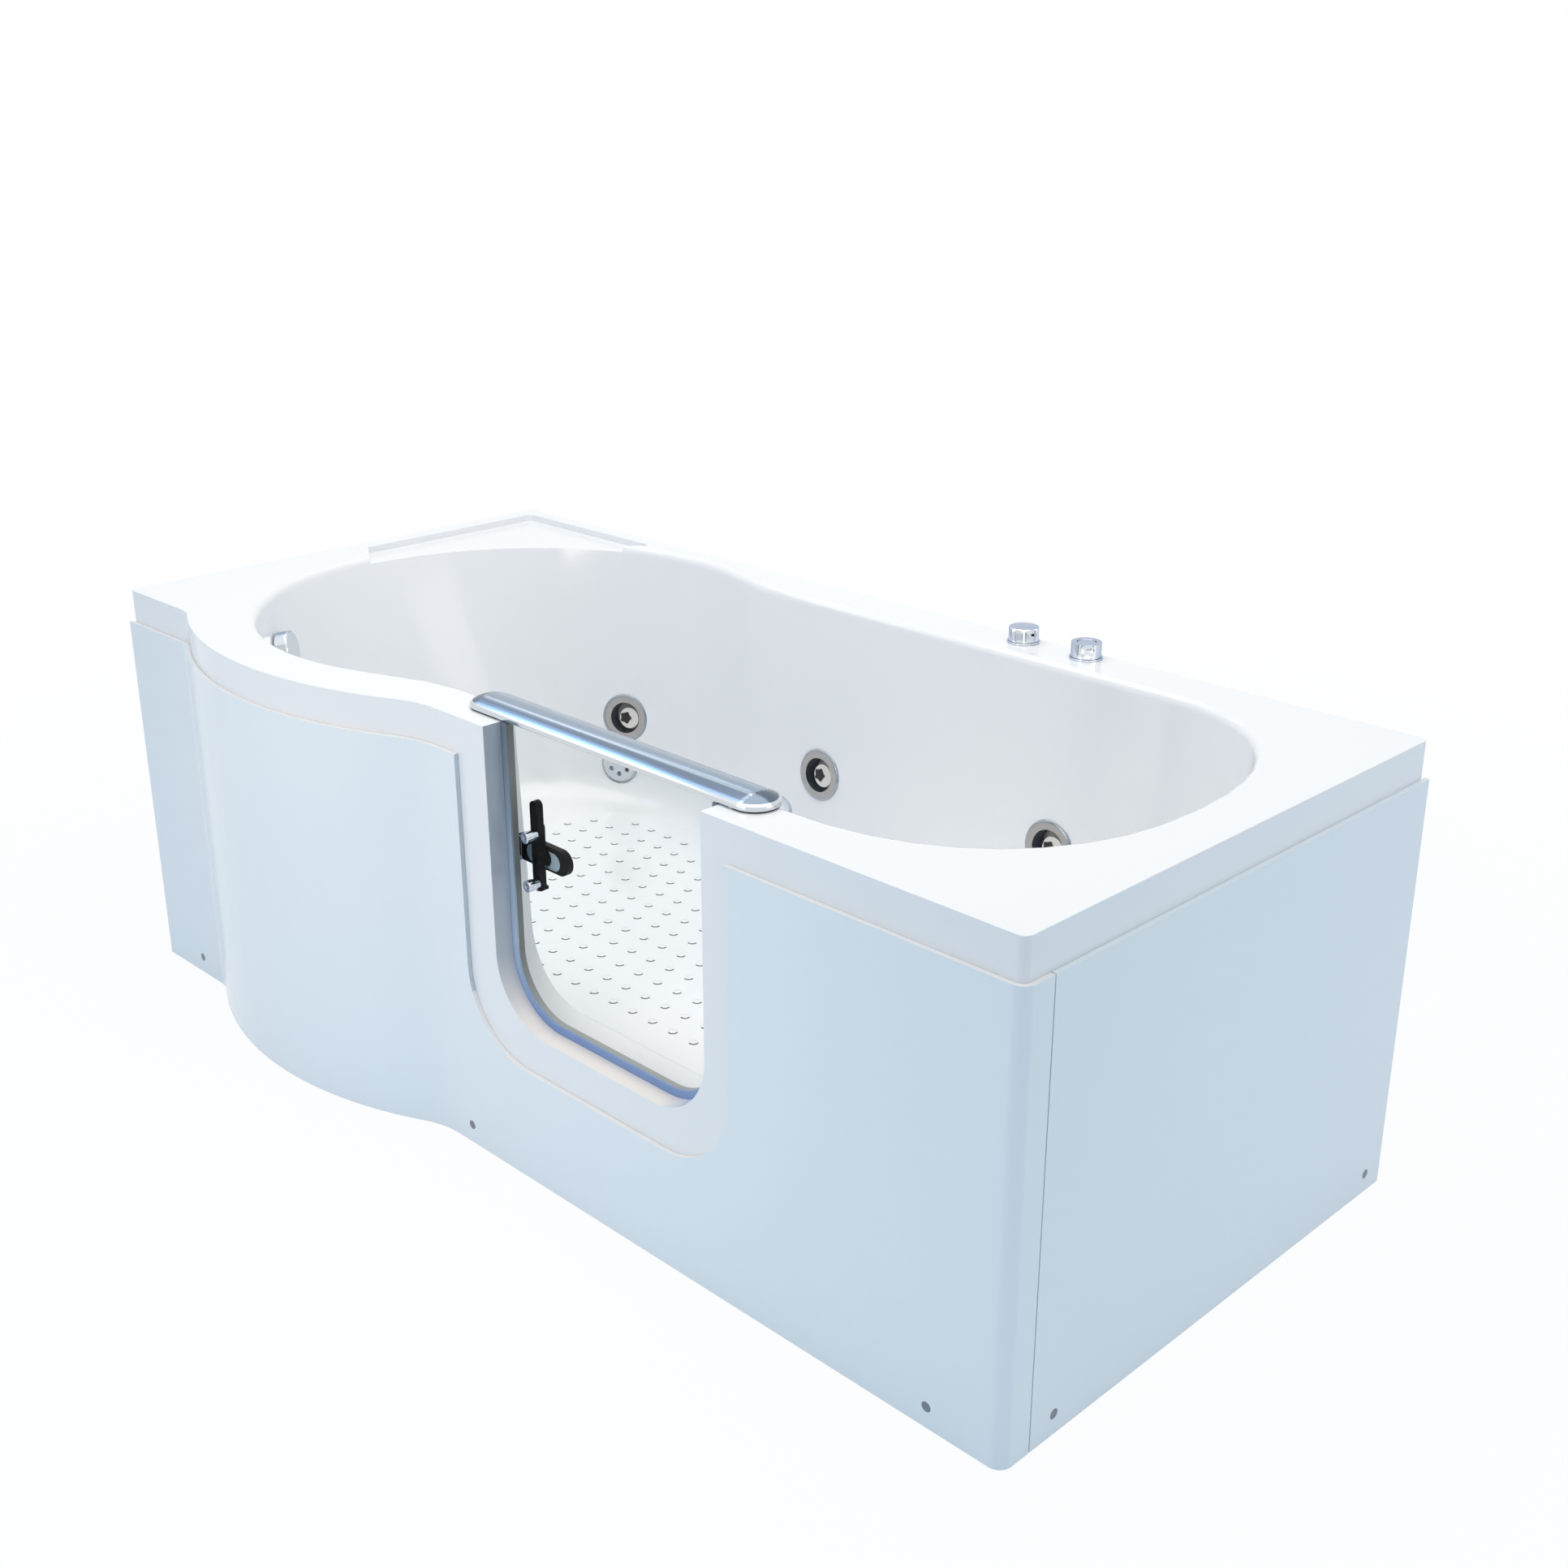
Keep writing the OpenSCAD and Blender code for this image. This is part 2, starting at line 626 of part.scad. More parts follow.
module tube(size) {
    difference() {
        cube(size);
        inner = [for (i = [0:2]) size[i] > 100 ? size[i] + 2 * eps : size[i] - 2 * tube_wall];
        move = [for (i = [0:2]) size[i] > 100 ? -eps : tube_wall];
        translate(move) cube(inner);
    }
}
module stud_holes() {
    for (f = feet) translate([f.x, f.y, f.z - eps]) cylinder(r = stud_radius + 0.2, h = stud_up + 2 * eps);
}
module leg_bar(x) {
    color("slategray") difference() {
        translate([x - tube_side / 2, bar_front, bar_under])
            tube([tube_side, bar_back - bar_front, tube_side]);
        stud_holes();
    }
}
module leg_bar_left() { leg_bar(bar_places[0]); }
module leg_bar_middle() { leg_bar(bar_places[1]); }
module leg_bar_right() { leg_bar(bar_places[2]); }

module portal_post(x) {
    color("slategray") difference() {
        union() {
            translate([x, post_front, post_under])
                tube([post_side, post_side, deck_under - fit - post_under]);
            translate([x, post_front, post_under]) cube([post_side, post_side, stud_up]);
        }
        stud_holes();
    }
}
module portal_post_left() { portal_post(posts_x[0]); }
module portal_post_right() { portal_post(posts_x[1]); }
module portal_sill_beam() {
    x0 = posts_x[0] + post_side;
    color("slategray") translate([x0, post_front, beam_under])
        tube([posts_x[1] - x0, post_side, post_side]);
}

module foot_studs() {
    color("silver") for (f = feet) translate([f.x, f.y, pad_height / 2])
        cylinder(r = stud_radius, h = f.z + stud_up - pad_height / 2 - 0.5);
}
module foot_nuts() {
    color("silver") for (f = feet) translate([f.x, f.y, f.z - 10]) difference() {
        cylinder(r = stud_radius * 1.8, h = 10, $fn = 6);
        translate([0, 0, -eps]) cylinder(r = stud_radius + 0.05, h = 10 + 2 * eps);
    }
}
module foot_pads() {
    color("black") for (f = feet) translate([f.x, f.y, 0]) difference() {
        union() {
            cylinder(r = min(pad_radius, f.y - 0.5), h = pad_height);
            cylinder(r = stud_radius + 5, h = pad_height + 4);
        }
        translate([0, 0, pad_height / 2]) cylinder(r = stud_radius + 0.05, h = pad_height);
    }
}

// ---------- hinge ----------
hinge_low = rim_height - 278;
hinge_high = rim_height - 100;
bracket_height = 20;
knuckle_gap = 1;
frame_inside = pocket[1] - fit - lining;
bracket_levels = [hinge_low - knuckle_gap - bracket_height, hinge_high + knuckle_height + knuckle_gap];
dome_centre = rim_height - dome_radius;

module hinge_post() {
    low = bracket_levels[0] - 4;
    dome_foot = bracket_levels[1] + bracket_height + 1;
    color("silver") translate([hinge_axis.x, hinge_axis.y, 0]) {
        translate([0, 0, low]) cylinder(r = post_radius, h = dome_foot - low + eps);
        translate([0, 0, dome_foot]) cylinder(r = dome_radius, h = dome_centre - dome_foot);
        translate([0, 0, dome_centre]) sphere(dome_radius);
    }
}

// Moves children to a bracket's fixing screw, with z along the screw towards the frame
module at_bracket_screw() {
    translate([frame_inside - 12, ring_back + 32, bracket_height / 2]) rotate([0, 90, 0]) children();
}
module hinge_bracket() {
    difference() {
        linear_extrude(bracket_height) difference() {
            union() {
                translate(hinge_axis) circle(knuckle_radius);
                polygon([[frame_inside - fit, ring_back + 16], [frame_inside - fit, front_straight + 2],
                    hinge_axis + [10, 9], hinge_axis + [-6, -10], [frame_inside - 8, ring_back + 16]]);
            }
            translate(hinge_axis) circle(post_radius + fit);
        }
        at_bracket_screw() {
            translate([0, 0, -15]) cylinder(r = screw_head + fit, h = 15);
            translate([0, 0, -eps]) cylinder(r = screw_radius + 0.2, h = 20);
        }
    }
}
module hinge_brackets() {
    color("silver") for (z = bracket_levels) translate([0, 0, z]) hinge_bracket();
}

clamp_left = 20;       // how far the clamp reaches over the glass
clamp_thickness = 6;
clamp_stud_x = glass_edge[1] - 11;
module hinge_clamp() {
    linear_extrude(knuckle_height) difference() {
        union() {
            translate(hinge_axis) circle(knuckle_radius);
            translate([glass_edge[1] - clamp_left, glass_back + 0.2])
                square([clamp_left + 10, clamp_thickness]);
            polygon([[glass_edge[1] - clamp_left, glass_back + 0.2 + clamp_thickness - 1],
                [glass_edge[1], glass_back + 0.2 + clamp_thickness - 1],
                hinge_axis + [6, -12], hinge_axis + [-13, 2]]);
        }
        translate(hinge_axis) circle(post_radius + hinge_clearance);
    }
    for (z = [knuckle_height / 4, knuckle_height * 3 / 4])
        translate([clamp_stud_x, glass_front + 0.5, z]) rotate([-90, 0, 0])
            cylinder(r = 4, h = glass_thickness + 3);
}
module hinge_clamps() {
    color("silver") for (z = [hinge_low, hinge_high]) translate([0, 0, z]) hinge_clamp();
}

// ---------- door ----------
module glass_holes() {
    for (z0 = [hinge_low, hinge_high]) for (s = [1, 3])
        translate([clamp_stud_x, glass_front - eps, z0 + knuckle_height * s / 4]) rotate([-90, 0, 0])
            cylinder(r = 4.3, h = glass_thickness + 2 * eps);
    for (s = [-1, 1]) translate([bolt_x, glass_front - eps, bolt_z + s * latch_bolt_spacing / 2])
        rotate([-90, 0, 0]) cylinder(r = bolt_radius + 0.2, h = glass_thickness + 2 * eps);
}
module door_glass() {
    color("lightcyan", 0.4) difference() {
        u_prism(glass_edge, glass_front, glass_back, glass_top);
        glass_holes();
    }
}

rail_front = 26.5;
rail_left = door_left - rail_over_left;
rail_right = door_right + rail_over_right;
rail_mid = rail_front + rail_width / 2;
module rail_plan(inset) {
    r = rail_width / 2 - inset;
    translate([rail_left + inset + r, rail_mid - r]) square([rail_right - rail_left - rail_width, 2 * r]);
    for (x = [rail_left + rail_width / 2, rail_right - rail_width / 2]) translate([x, rail_mid]) circle(r);
}
// Half of the rail's section, from its middle line outward
module rail_half_section() {
    half = rail_width / 2;
    crown_r = (pow(half, 2) + pow(rail_crown, 2)) / (2 * rail_crown);
    intersection() {
        square([half, rail_side + rail_crown - 0.04]);
        translate([0, rail_side + rail_crown - crown_r]) circle(crown_r, $fn = 180);
        translate([0, rail_side + rail_crown - crown_r]) square([half, crown_r + eps]);
    }
    square([half, rail_side - 0.02]);
}
module rail_solid() {
    half = rail_width / 2;
    translate([rail_left + half, rail_mid, rail_base]) rotate([90, 0, 90])
        linear_extrude(rail_right - rail_left - rail_width) {
            rail_half_section();
            mirror([1, 0]) rail_half_section();
        }
    for (e = [[rail_left + half, 90], [rail_right - half, -90]])
        translate([e[0], rail_mid, rail_base]) rotate(e[1]) rotate_extrude(angle = 180)
            rail_half_section();
}
module top_rail() {
    color("silver") difference() {
        rail_solid();
        translate([glass_edge[0] - fit, glass_front - 0.2, rail_base - eps])
            cube([glass_edge[1] - glass_edge[0] + 2 * fit, glass_thickness + 0.4,
                rail_side + eps + fit]);
    }
}
module rail_gaskets() {
    color("black") translate([0, 0, rim_height + fit]) linear_extrude(rail_pad) intersection() {
        rail_plan(1);
        union() {
            translate([rail_left, 0]) square([door_left - 10 - rail_left, 200]);
            translate([door_right + 20, 0]) square([80, 200]);
        }
    }
}

// ---------- latch ----------
latch_x = door_left + latch_inset;
bar_tip_depth = 3.5;   // depth of the latch's bar at its top end
bar_bevel = 26;        // height over which the bar's depth shrinks to that
foot_lip = [3, 4.5];   // how far the bar's foot sticks out at the back, and its height
handle_corner = 8;     // radius of the handle's left corners
inlay_size = [66, 24];
inlay_place = [-5, -2]; // middle of the inlay from the pivot
bolt_x = latch_x + 2;
bolt_z = latch_height + 3.5;
bolt_radius = 6.5;
bolt_head = 7.5;
bolt_out = 10;
latch_body_front = glass_back + 0.8;
latch_body_back = latch_body_front + 8;
tongue_front = latch_body_back + 0.3;
tongue_thickness = 3;
tongue_back = tongue_front + tongue_thickness;
keeper_leg = 3;
handle_front = tongue_back + 0.3 + keeper_leg + 0.4;
handle_thickness = 9;
spindle_radius = 4;
inlay_depth = 2;

module upright(y0, y1) {
    translate([0, y1, 0]) rotate([90, 0, 0]) linear_extrude(y1 - y0) children();
}
// An upright bar with a round top
module round_topped_bar(w, z0, z1) {
    r = w / 2 - 0.01;
    translate([-w / 2, z0]) square([w, z1 - z0 - r]);
    translate([0, z1 - r]) circle(r);
}
module stadium(length, height) {
    r = height / 2;
    square([length - height, height], center = true);
    for (s = [-1, 1]) translate([s * (length - height) / 2, 0]) circle(r);
}

module latch_body() {
    color("black") difference() {
        upright(latch_body_front, latch_body_front + latch_bar_depth) translate([latch_x, 0])
            round_topped_bar(latch_bar_width, latch_height - latch_bar_down, latch_height + latch_bar_up);
        translate([latch_x - latch_bar_width, latch_body_back, latch_height - 9.5])
            cube([2 * latch_bar_width, latch_bar_depth, tongue_reach + 10]);
        translate([latch_x - latch_bar_width, latch_body_front + latch_bar_depth,
            latch_height + latch_bar_up - bar_bevel])
            rotate([-atan((latch_bar_depth - bar_tip_depth) / bar_bevel), 0, 0])
                cube([2 * latch_bar_width, latch_bar_depth, 2 * bar_bevel]);
        translate([latch_x, latch_body_front - eps, latch_height]) rotate([-90, 0, 0])
            cylinder(r = spindle_radius + 0.05, h = 20);
        for (s = [-1, 1]) translate([bolt_x, latch_body_front - eps,
            bolt_z + s * latch_bolt_spacing / 2]) rotate([-90, 0, 0]) cylinder(r = 3.2, h = 6);
    }
    color("black") translate([latch_x - latch_bar_width / 2, latch_body_front + latch_bar_depth - 1,
        latch_height - latch_bar_down]) cube([latch_bar_width, foot_lip[0] + 1, foot_lip[1]]);
}
module latch_bolts() {
    color("silver") for (s = [-1, 1]) translate([bolt_x, glass_front - bolt_out,
        bolt_z + s * latch_bolt_spacing / 2]) rotate([-90, 0, 0]) difference() {
        union() {
            cylinder(r = bolt_head, h = bolt_out - 0.2);
            cylinder(r = bolt_radius, h = bolt_out + glass_thickness + 0.6);
            cylinder(r = 3, h = bolt_out + glass_thickness + 5);
        }
        translate([0, 0, -eps]) cylinder(r = 3, h = 5 + eps, $fn = 6);
    }
}
module latch_spindle() {
    color("black") translate([latch_x, 0, latch_height]) {
        translate([0, latch_body_front + 1, 0]) rotate([-90, 0, 0])
            cylinder(r = spindle_radius, h = handle_front - latch_body_front + 2);
        upright(tongue_front, tongue_back) difference() {
            union() {
                translate([-7, 0]) square([14, tongue_reach - 7]);
                translate([0, tongue_reach - 7]) circle(7);
                circle(9);
            }
        }
    }
}
// The handle's outline: round at the right, with rounded corners at the left
module handle_outline() {
    l = latch_handle_length / 2;
    h = latch_handle_height / 2;
    translate([-latch_handle_shift, 0]) {
        translate([handle_corner - l, -h]) square([2 * l - handle_corner - h, 2 * h]);
        translate([-l, handle_corner - h]) square([l, 2 * (h - handle_corner)]);
        for (s = [-1, 1]) translate([handle_corner - l, s * (h - handle_corner)]) circle(handle_corner);
        translate([l - h, 0]) circle(h);
    }
}
module inlay_outline(gap) {
    translate(inlay_place) stadium(inlay_size[0] - 2 * gap, inlay_size[1] - 2 * gap);
}
module latch_handle() {
    color("black") translate([latch_x, 0, latch_height]) difference() {
        upright(handle_front, handle_front + handle_thickness) handle_outline();
        for (y = [handle_front, handle_front + handle_thickness - inlay_depth])
            upright(y - (y == handle_front ? eps : 0), y + inlay_depth + (y == handle_front ? 0 : eps))
                difference() {
                    inlay_outline(0);
                    if (y == handle_front) circle(11);
                }
        translate([0, handle_front - eps, 0]) rotate([-90, 0, 0])
            cylinder(r = spindle_radius + 0.05, h = 4 + eps);
    }
}
module latch_inlay() {
    color("lightsteelblue") translate([latch_x, 0, latch_height]) {
        upright(handle_front + 0.2, handle_front + inlay_depth - 0.1) difference() {
            inlay_outline(fit);
            circle(11 + fit);
        }
        upright(handle_front + handle_thickness - inlay_depth + 0.1,
            handle_front + handle_thickness - 0.2) inlay_outline(fit);
    }
}

keeper_height = 32;
keeper_x0 = pocket[0] + fit + lining + 0.1;
module latch_keeper() {
    reach = latch_x - tongue_reach + 6;
    front = tongue_front - 0.3 - keeper_leg;
    back = tongue_back + 0.3 + keeper_leg;
    color("silver") difference() {
        translate([keeper_x0, front, latch_height - keeper_height / 2])
            cube([reach - keeper_x0, back - front, keeper_height]);
        translate([latch_x - tongue_reach - 2, tongue_front - 0.3, latch_height - keeper_height])
            cube([40, tongue_thickness + 0.6, 2 * keeper_height]);
    }
}

module fixing_screws() {
    color("silver") for (z = bracket_levels) translate([0, 0, z]) at_bracket_screw() {
        translate([0, 0, -3]) cylinder(r = screw_head, h = 2.9);
        translate([0, 0, -1]) cylinder(r = screw_radius, h = 12.6);
    }
}

// ---------- jets ----------
suction_radius = 32;
tube_out = 44;         // length of a jet's body behind the wall
pipe_y = tub_depth - 34;
air_y = tub_depth - 23;
water_z = rim_height - 315;
air_z = rim_height - 190;
elbow_swell = 2;       // how far an elbow is thicker than its pipe

nozzle_foot = -nozzle_depth - 3;
nozzle_opening = 10.5;
nozzle_tube = 8.6;
module jet_flange(p) {
    color("silver") facing(p) rotate_extrude() polygon([[jet_recess, nozzle_foot - 1],
        [jet_hole - 0.4, nozzle_foot - 1], [jet_hole - 0.4, 0.2], [jet_radius, 0.2],
        [jet_radius - 0.5, 1.2], [jet_face, jet_proud], [jet_recess, jet_proud]]);
}
module jet_flange_left() { jet_flange(jet_places[0]); }
module jet_flange_middle() { jet_flange(jet_places[1]); }
module jet_flange_right() { jet_flange(jet_places[2]); }

// The turning nozzle: a swelling disc with a lobed opening round a tube
module jet_nozzle(p) {
    edge = jet_recess - 0.5;
    color("gray") facing(p) difference() {
        union() {
            difference() {
                rotate_extrude() polygon([[0, nozzle_foot], [edge, nozzle_foot], [edge, -nozzle_depth],
                    [nozzle_opening + 3.5, nozzle_swell - nozzle_depth], [0, nozzle_swell - nozzle_depth]]);
                translate([0, 0, nozzle_foot - eps]) {
                    cylinder(r = nozzle_opening, h = 30);
                    for (a = [0:60:300]) rotate(a) translate([nozzle_opening, 0, 0])
                        cylinder(r = 2.4, h = 30, $fn = 24);
                }
            }
            translate([0, 0, nozzle_foot]) cylinder(r = nozzle_tube, h = -nozzle_foot);
            for (a = [30, 150, 270]) rotate(a) translate([nozzle_tube - 1, -1.5, nozzle_foot])
                cube([5, 3, 2.5]);
        }
        translate([0, 0, nozzle_foot - eps]) cylinder(r = nozzle_tube - 1.6, h = 30);
    }
}
module jet_nozzle_left() { jet_nozzle(jet_places[0]); }
module jet_nozzle_middle() { jet_nozzle(jet_places[1]); }
module jet_nozzle_right() { jet_nozzle(jet_places[2]); }

// A straight pipe between two points
module pipe(a, b, r) {
    d = b - a;
    translate(a) rotate([0, acos(d.z / norm(d)), atan2(d.y, d.x)]) cylinder(r = r, h = norm(d));
}
// A run of pipe through points, with a round elbow fitting at each corner
module pipe_run(points, r) {
    for (i = [0:len(points) - 2]) pipe(points[i], points[i + 1], r);
    if (len(points) > 2) for (i = [1:len(points) - 2]) translate(points[i]) sphere(r + elbow_swell);
}

module jet_body(p) {
    rear = p[0] - p[1] * (tube_out - 12);
    down = [rear.x, pipe_y, rear.z];
    up = [rear.x, air_y, rear.z + 12];
    color("white") difference() {
        union() {
            facing(p) {
                translate([0, 0, -tube_out]) cylinder(r = jet_hole + 3, h = tube_out - 8);
                translate([0, 0, -14]) cylinder(r = jet_radius, h = 7);
            }
            pipe_run([rear, down, [down.x, down.y, water_z]], 10);
            pipe_run([rear + [0, 0, 12], up, [up.x, up.y, air_z]], 6);
        }
        pipe([down.x - 60, pipe_y, water_z], [down.x + 60, pipe_y, water_z], water_pipe + 0.1);
        pipe([up.x - 60, air_y, air_z], [up.x + 60, air_y, air_z], air_pipe + 0.1);
        facing(p) {
            translate([0, 0, -tube_out + 4]) cylinder(r = jet_recess - 4, h = tube_out);
            translate([0, 0, nozzle_foot - 1.3]) cylinder(r = jet_hole - 0.3, h = tube_out);
        }
    }
}
module jet_body_left() { jet_body(jet_places[0]); }
module jet_body_middle() { jet_body(jet_places[1]); }
module jet_body_right() { jet_body(jet_places[2]); }

module suction_cover() {
    color("lightsteelblue") facing(suction_place) difference() {
        translate([0, 0, 0.3]) cylinder(r1 = suction_radius, r2 = suction_radius - 4, h = 7);
        for (i = [0:5]) rotate(60 * i) translate([16, 0, -1]) cylinder(r = 4, h = 12, $fn = 24);
    }
}
module suction_body() {
    color("white") facing(suction_place) difference() {
        union() {
            translate([0, 0, -40]) cylinder(r = suction_hole - 0.3, h = 40.1);
            translate([0, 0, -16]) cylinder(r = suction_radius, h = 9);
        }
        translate([0, 0, -36]) cylinder(r = suction_hole - 4, h = 40);
    }
}

pump_x = half_length - 68;
pump_z = 84;
volute_front = tub_depth - 258;
volute_length = 50;
pump_inlet_y = volute_front - 18;
motor_back = tub_depth - 20;
riser_top = water_z - 70;
pump_out_y = volute_front + volute_length / 2;
pump_out_z = pump_z + volute_radius + 14;

module water_manifold() {
    left = (jet_places[0][0] - jet_places[0][1] * (tube_out - 12)).x - 16;
    color("whitesmoke") pipe_run([[pump_x, pump_out_y, pump_out_z],
        [pump_x, pump_out_y, riser_top], [pump_x, pipe_y, riser_top], [pump_x, pipe_y, water_z],
        [left, pipe_y, water_z]], water_pipe);
}
module air_manifold() {
    left = (jet_places[0][0] - jet_places[0][1] * (tube_out - 12)).x - 12;
    valve_foot = rim_height - 62;
    color("gainsboro") difference() {
        union() {
            pipe([left, air_y, air_z], [air_knob_place.x + 160, air_y, air_z], air_pipe);
            pipe([air_knob_place.x, air_y, air_z], [air_knob_place.x, air_y, valve_foot], air_pipe);
        }
        pipe([left - 10, air_y, air_z], [left + 1, air_y, air_z], air_pipe - 2);
    }
}
module suction_pipe() {
    start = suction_place[0] - suction_place[1] * 52;
    turn_x = pump_x - 92;
    turn_y = pump_inlet_y - 42;
    color("whitesmoke") difference() {
        union() {
            translate(start) sphere(suction_pipe_radius + elbow_swell);
            pipe_run([start, [start.x, start.y, pump_z], [turn_x, start.y, pump_z],
                [turn_x, turn_y, pump_z], [pump_x, turn_y, pump_z],
                [pump_x, pump_inlet_y - 0.2, pump_z]], suction_pipe_radius);
        }
        facing([suction_place[0] - suction_place[1] * 40.2, suction_place[1]])
            cylinder(r = 40, h = 40);
    }
}

module pump_volute() {
    color("darkslategray") translate([pump_x, 0, pump_z]) difference() {
        union() {
            translate([0, volute_front, 0]) rotate([-90, 0, 0]) cylinder(r = volute_radius, h = volute_length);
            translate([0, pump_inlet_y, 0]) rotate([-90, 0, 0]) cylinder(r = 22, h = 30);
            translate([0, pump_out_y, 0]) cylinder(r = water_pipe + 4, h = volute_radius + 13.7);
        }
        translate([0, volute_front + 5, 0]) rotate([-90, 0, 0])
            cylinder(r = impeller_radius + 5, h = volute_length);
        translate([0, pump_inlet_y - eps, 0]) rotate([-90, 0, 0]) cylinder(r = 17, h = 40);
        translate([0, pump_out_y, 20]) cylinder(r = water_pipe, h = 80);
    }
}
shaft_radius = 7;
module pump_motor() {
    plate_y = volute_front + volute_length + 0.2;
    color("gray") translate([pump_x, 0, pump_z]) difference() {
        union() {
            translate([0, plate_y, 0]) rotate([-90, 0, 0]) cylinder(r = volute_radius, h = 10);
            translate([0, plate_y, 0]) rotate([-90, 0, 0]) cylinder(r = motor_radius, h = motor_back - plate_y);
            translate([-45, plate_y + 30, -pump_z]) cube([90, 110, pump_z - 30]);
        }
        translate([0, plate_y - eps, 0]) rotate([-90, 0, 0])
            cylinder(r = shaft_radius + 0.05, h = 30);
        translate([0, plate_y + 20, 0]) rotate([-90, 0, 0]) cylinder(r = motor_radius - 12, h = 120);
    }
}
// The rotating set: impeller, shaft and rotor
module pump_impeller() {
    plate_y = volute_front + volute_length + 0.2;
    color("orange") translate([pump_x, 0, pump_z]) {
        translate([0, volute_front + 28, 0]) rotate([-90, 0, 0]) cylinder(r = impeller_radius, h = 5);
        for (a = [0:60:300]) rotate([0, a, 0]) translate([12, volute_front + 14, -1.5])
            cube([impeller_radius - 14, 14.5, 3]);
        translate([0, volute_front + 14, 0]) rotate([-90, 0, 0]) cylinder(r = 13, h = 15);
        translate([0, volute_front + 28, 0]) rotate([-90, 0, 0]) cylinder(r = shaft_radius, h = 60);
        translate([0, plate_y + 24, 0]) rotate([-90, 0, 0]) cylinder(r = motor_radius - 15, h = 100);
    }
}

// ---------- controls on the back rim ----------
module air_valve_body() {
    color("silver") translate([air_knob_place.x, air_knob_place.y, rim_height]) difference() {
        union() {
            translate([0, 0, 0.1]) cylinder(r = knob_base, h = 2.4);
            translate([0, 0, -60]) cylinder(r = air_hole - 0.3, h = 61);
            translate([0, 0, -shell_wall - 8.2]) cylinder(r = 16.4, h = 8, $fn = 6);
        }
        translate([0, 0, -20]) cylinder(r = 5.05, h = 30);
        translate([0, 0, -62.1]) cylinder(r = air_pipe - 2, h = 50);
    }
}
module air_knob() {
    color("silver") translate([air_knob_place.x, air_knob_place.y, rim_height]) difference() {
        union() {
            translate([0, 0, 2.8]) cylinder(r = knob_radius, h = knob_height - 2.8);
            translate([0, 0, -10]) cylinder(r = 5, h = 14);
        }
        rotate(-46) translate([knob_radius - 1.2, -2, knob_height - 10]) cube([4, 4, 4]);
    }
}
button_stem = 5;
module switch_body() {
    color("silver") translate([switch_place.x, switch_place.y, rim_height]) difference() {
        union() {
            translate([0, 0, 0.1]) cylinder(r = knob_base, h = 2.4);
            translate([0, 0, -40]) cylinder(r = switch_hole - 0.3, h = 41);
            translate([0, 0, -shell_wall - 8.2]) cylinder(r = 16.4, h = 8, $fn = 6);
        }
        translate([0, 0, -30]) cylinder(r = button_stem + 0.3, h = 60);
        translate([0, 0, -45]) cylinder(r = 3, h = 20);
    }
}
module switch_collar() {
    color("silver") translate([switch_place.x, switch_place.y, rim_height]) difference() {
        translate([0, 0, 2.8]) cylinder(r = knob_radius, h = knob_height - 2.8);
        translate([0, 0, -eps]) cylinder(r = button_radius + 0.5, h = knob_height + 3 * eps);
        rotate(-50) translate([knob_radius + 8, 0, knob_height - 6]) sphere(14);
    }
}
module start_button() {
    color("lightsteelblue") translate([switch_place.x, switch_place.y, rim_height]) {
        translate([0, 0, 8]) cylinder(r = button_radius, h = knob_height - 8.6);
        translate([0, 0, -20]) cylinder(r = button_stem, h = 30);
    }
}

// ---------- waste and overflow ----------
trap_z = 62;
trap_out_x = drain_place.x - 190;
spigot_length = 60;
overflow_gap = 3;
overflow_back = 50;
overflow_outlet = overflow_place[0] - overflow_place[1] * 34;

module overflow_body() {
    color("white") facing(overflow_place) difference() {
        union() {
            translate([0, 0, -overflow_back]) cylinder(r = overflow_stem + 6, h = overflow_back - 6.5);
            translate([0, 0, -10]) cylinder(r = overflow_stem, h = 10.5);
        }
        translate([0, 0, -overflow_back + 4]) cylinder(r = overflow_stem - 4, h = overflow_back);
    }
}
module overflow_knob() {
    color("silver") facing(overflow_place) {
        rotate_extrude() polygon([[0, overflow_gap], [overflow_cap - 1, overflow_gap],
            [overflow_cap, overflow_gap + 1], [overflow_cap, overflow_length - 2.5],
            [overflow_cap - 2.5, overflow_length], [0, overflow_length]]);
        translate([0, 0, -9]) cylinder(r = overflow_stem - 4.05, h = 9 + overflow_gap + eps);
        translate([0, 0, -overflow_back + 10]) cylinder(r = 4, h = overflow_back);
    }
}
module overflow_pipe() {
    top = overflow_outlet;
    color("gray") difference() {
        pipe_run([top, [top.x, top.y, trap_z + 70], [drain_place.x - 50, drain_place.y, trap_z + 30],
            [drain_place.x - 8, drain_place.y, trap_z + 30]], waste_pipe - 5);
        facing(overflow_place) translate([0, 0, -overflow_back - 10])
            cylinder(r = overflow_stem + 6.2, h = overflow_back + 20);
        translate([drain_place.x, drain_place.y, trap_z]) cylinder(r = waste_pipe + 6.2, h = 100);
    }
}
module drain_flange() {
    color("silver") translate([drain_place.x, drain_place.y, floor_height]) difference() {
        union() {
            translate([0, 0, -1.8]) cylinder(r = drain_radius, h = 2.4);
            translate([0, 0, -34]) cylinder(r = 23.5, h = 34);
        }
        translate([0, 0, -35]) cylinder(r = 18, h = 40);
        translate([0, 0, -0.6]) cylinder(r1 = plug_radius - 1, r2 = plug_radius + 1.4, h = 2);
    }
}
module drain_plug() {
    color("silver") translate([drain_place.x, drain_place.y, floor_height]) {
        translate([0, 0, 0.2]) cylinder(r = plug_radius - 1, h = 1.6);
        translate([0, 0, -30]) cylinder(r = 4, h = 31);
    }
}
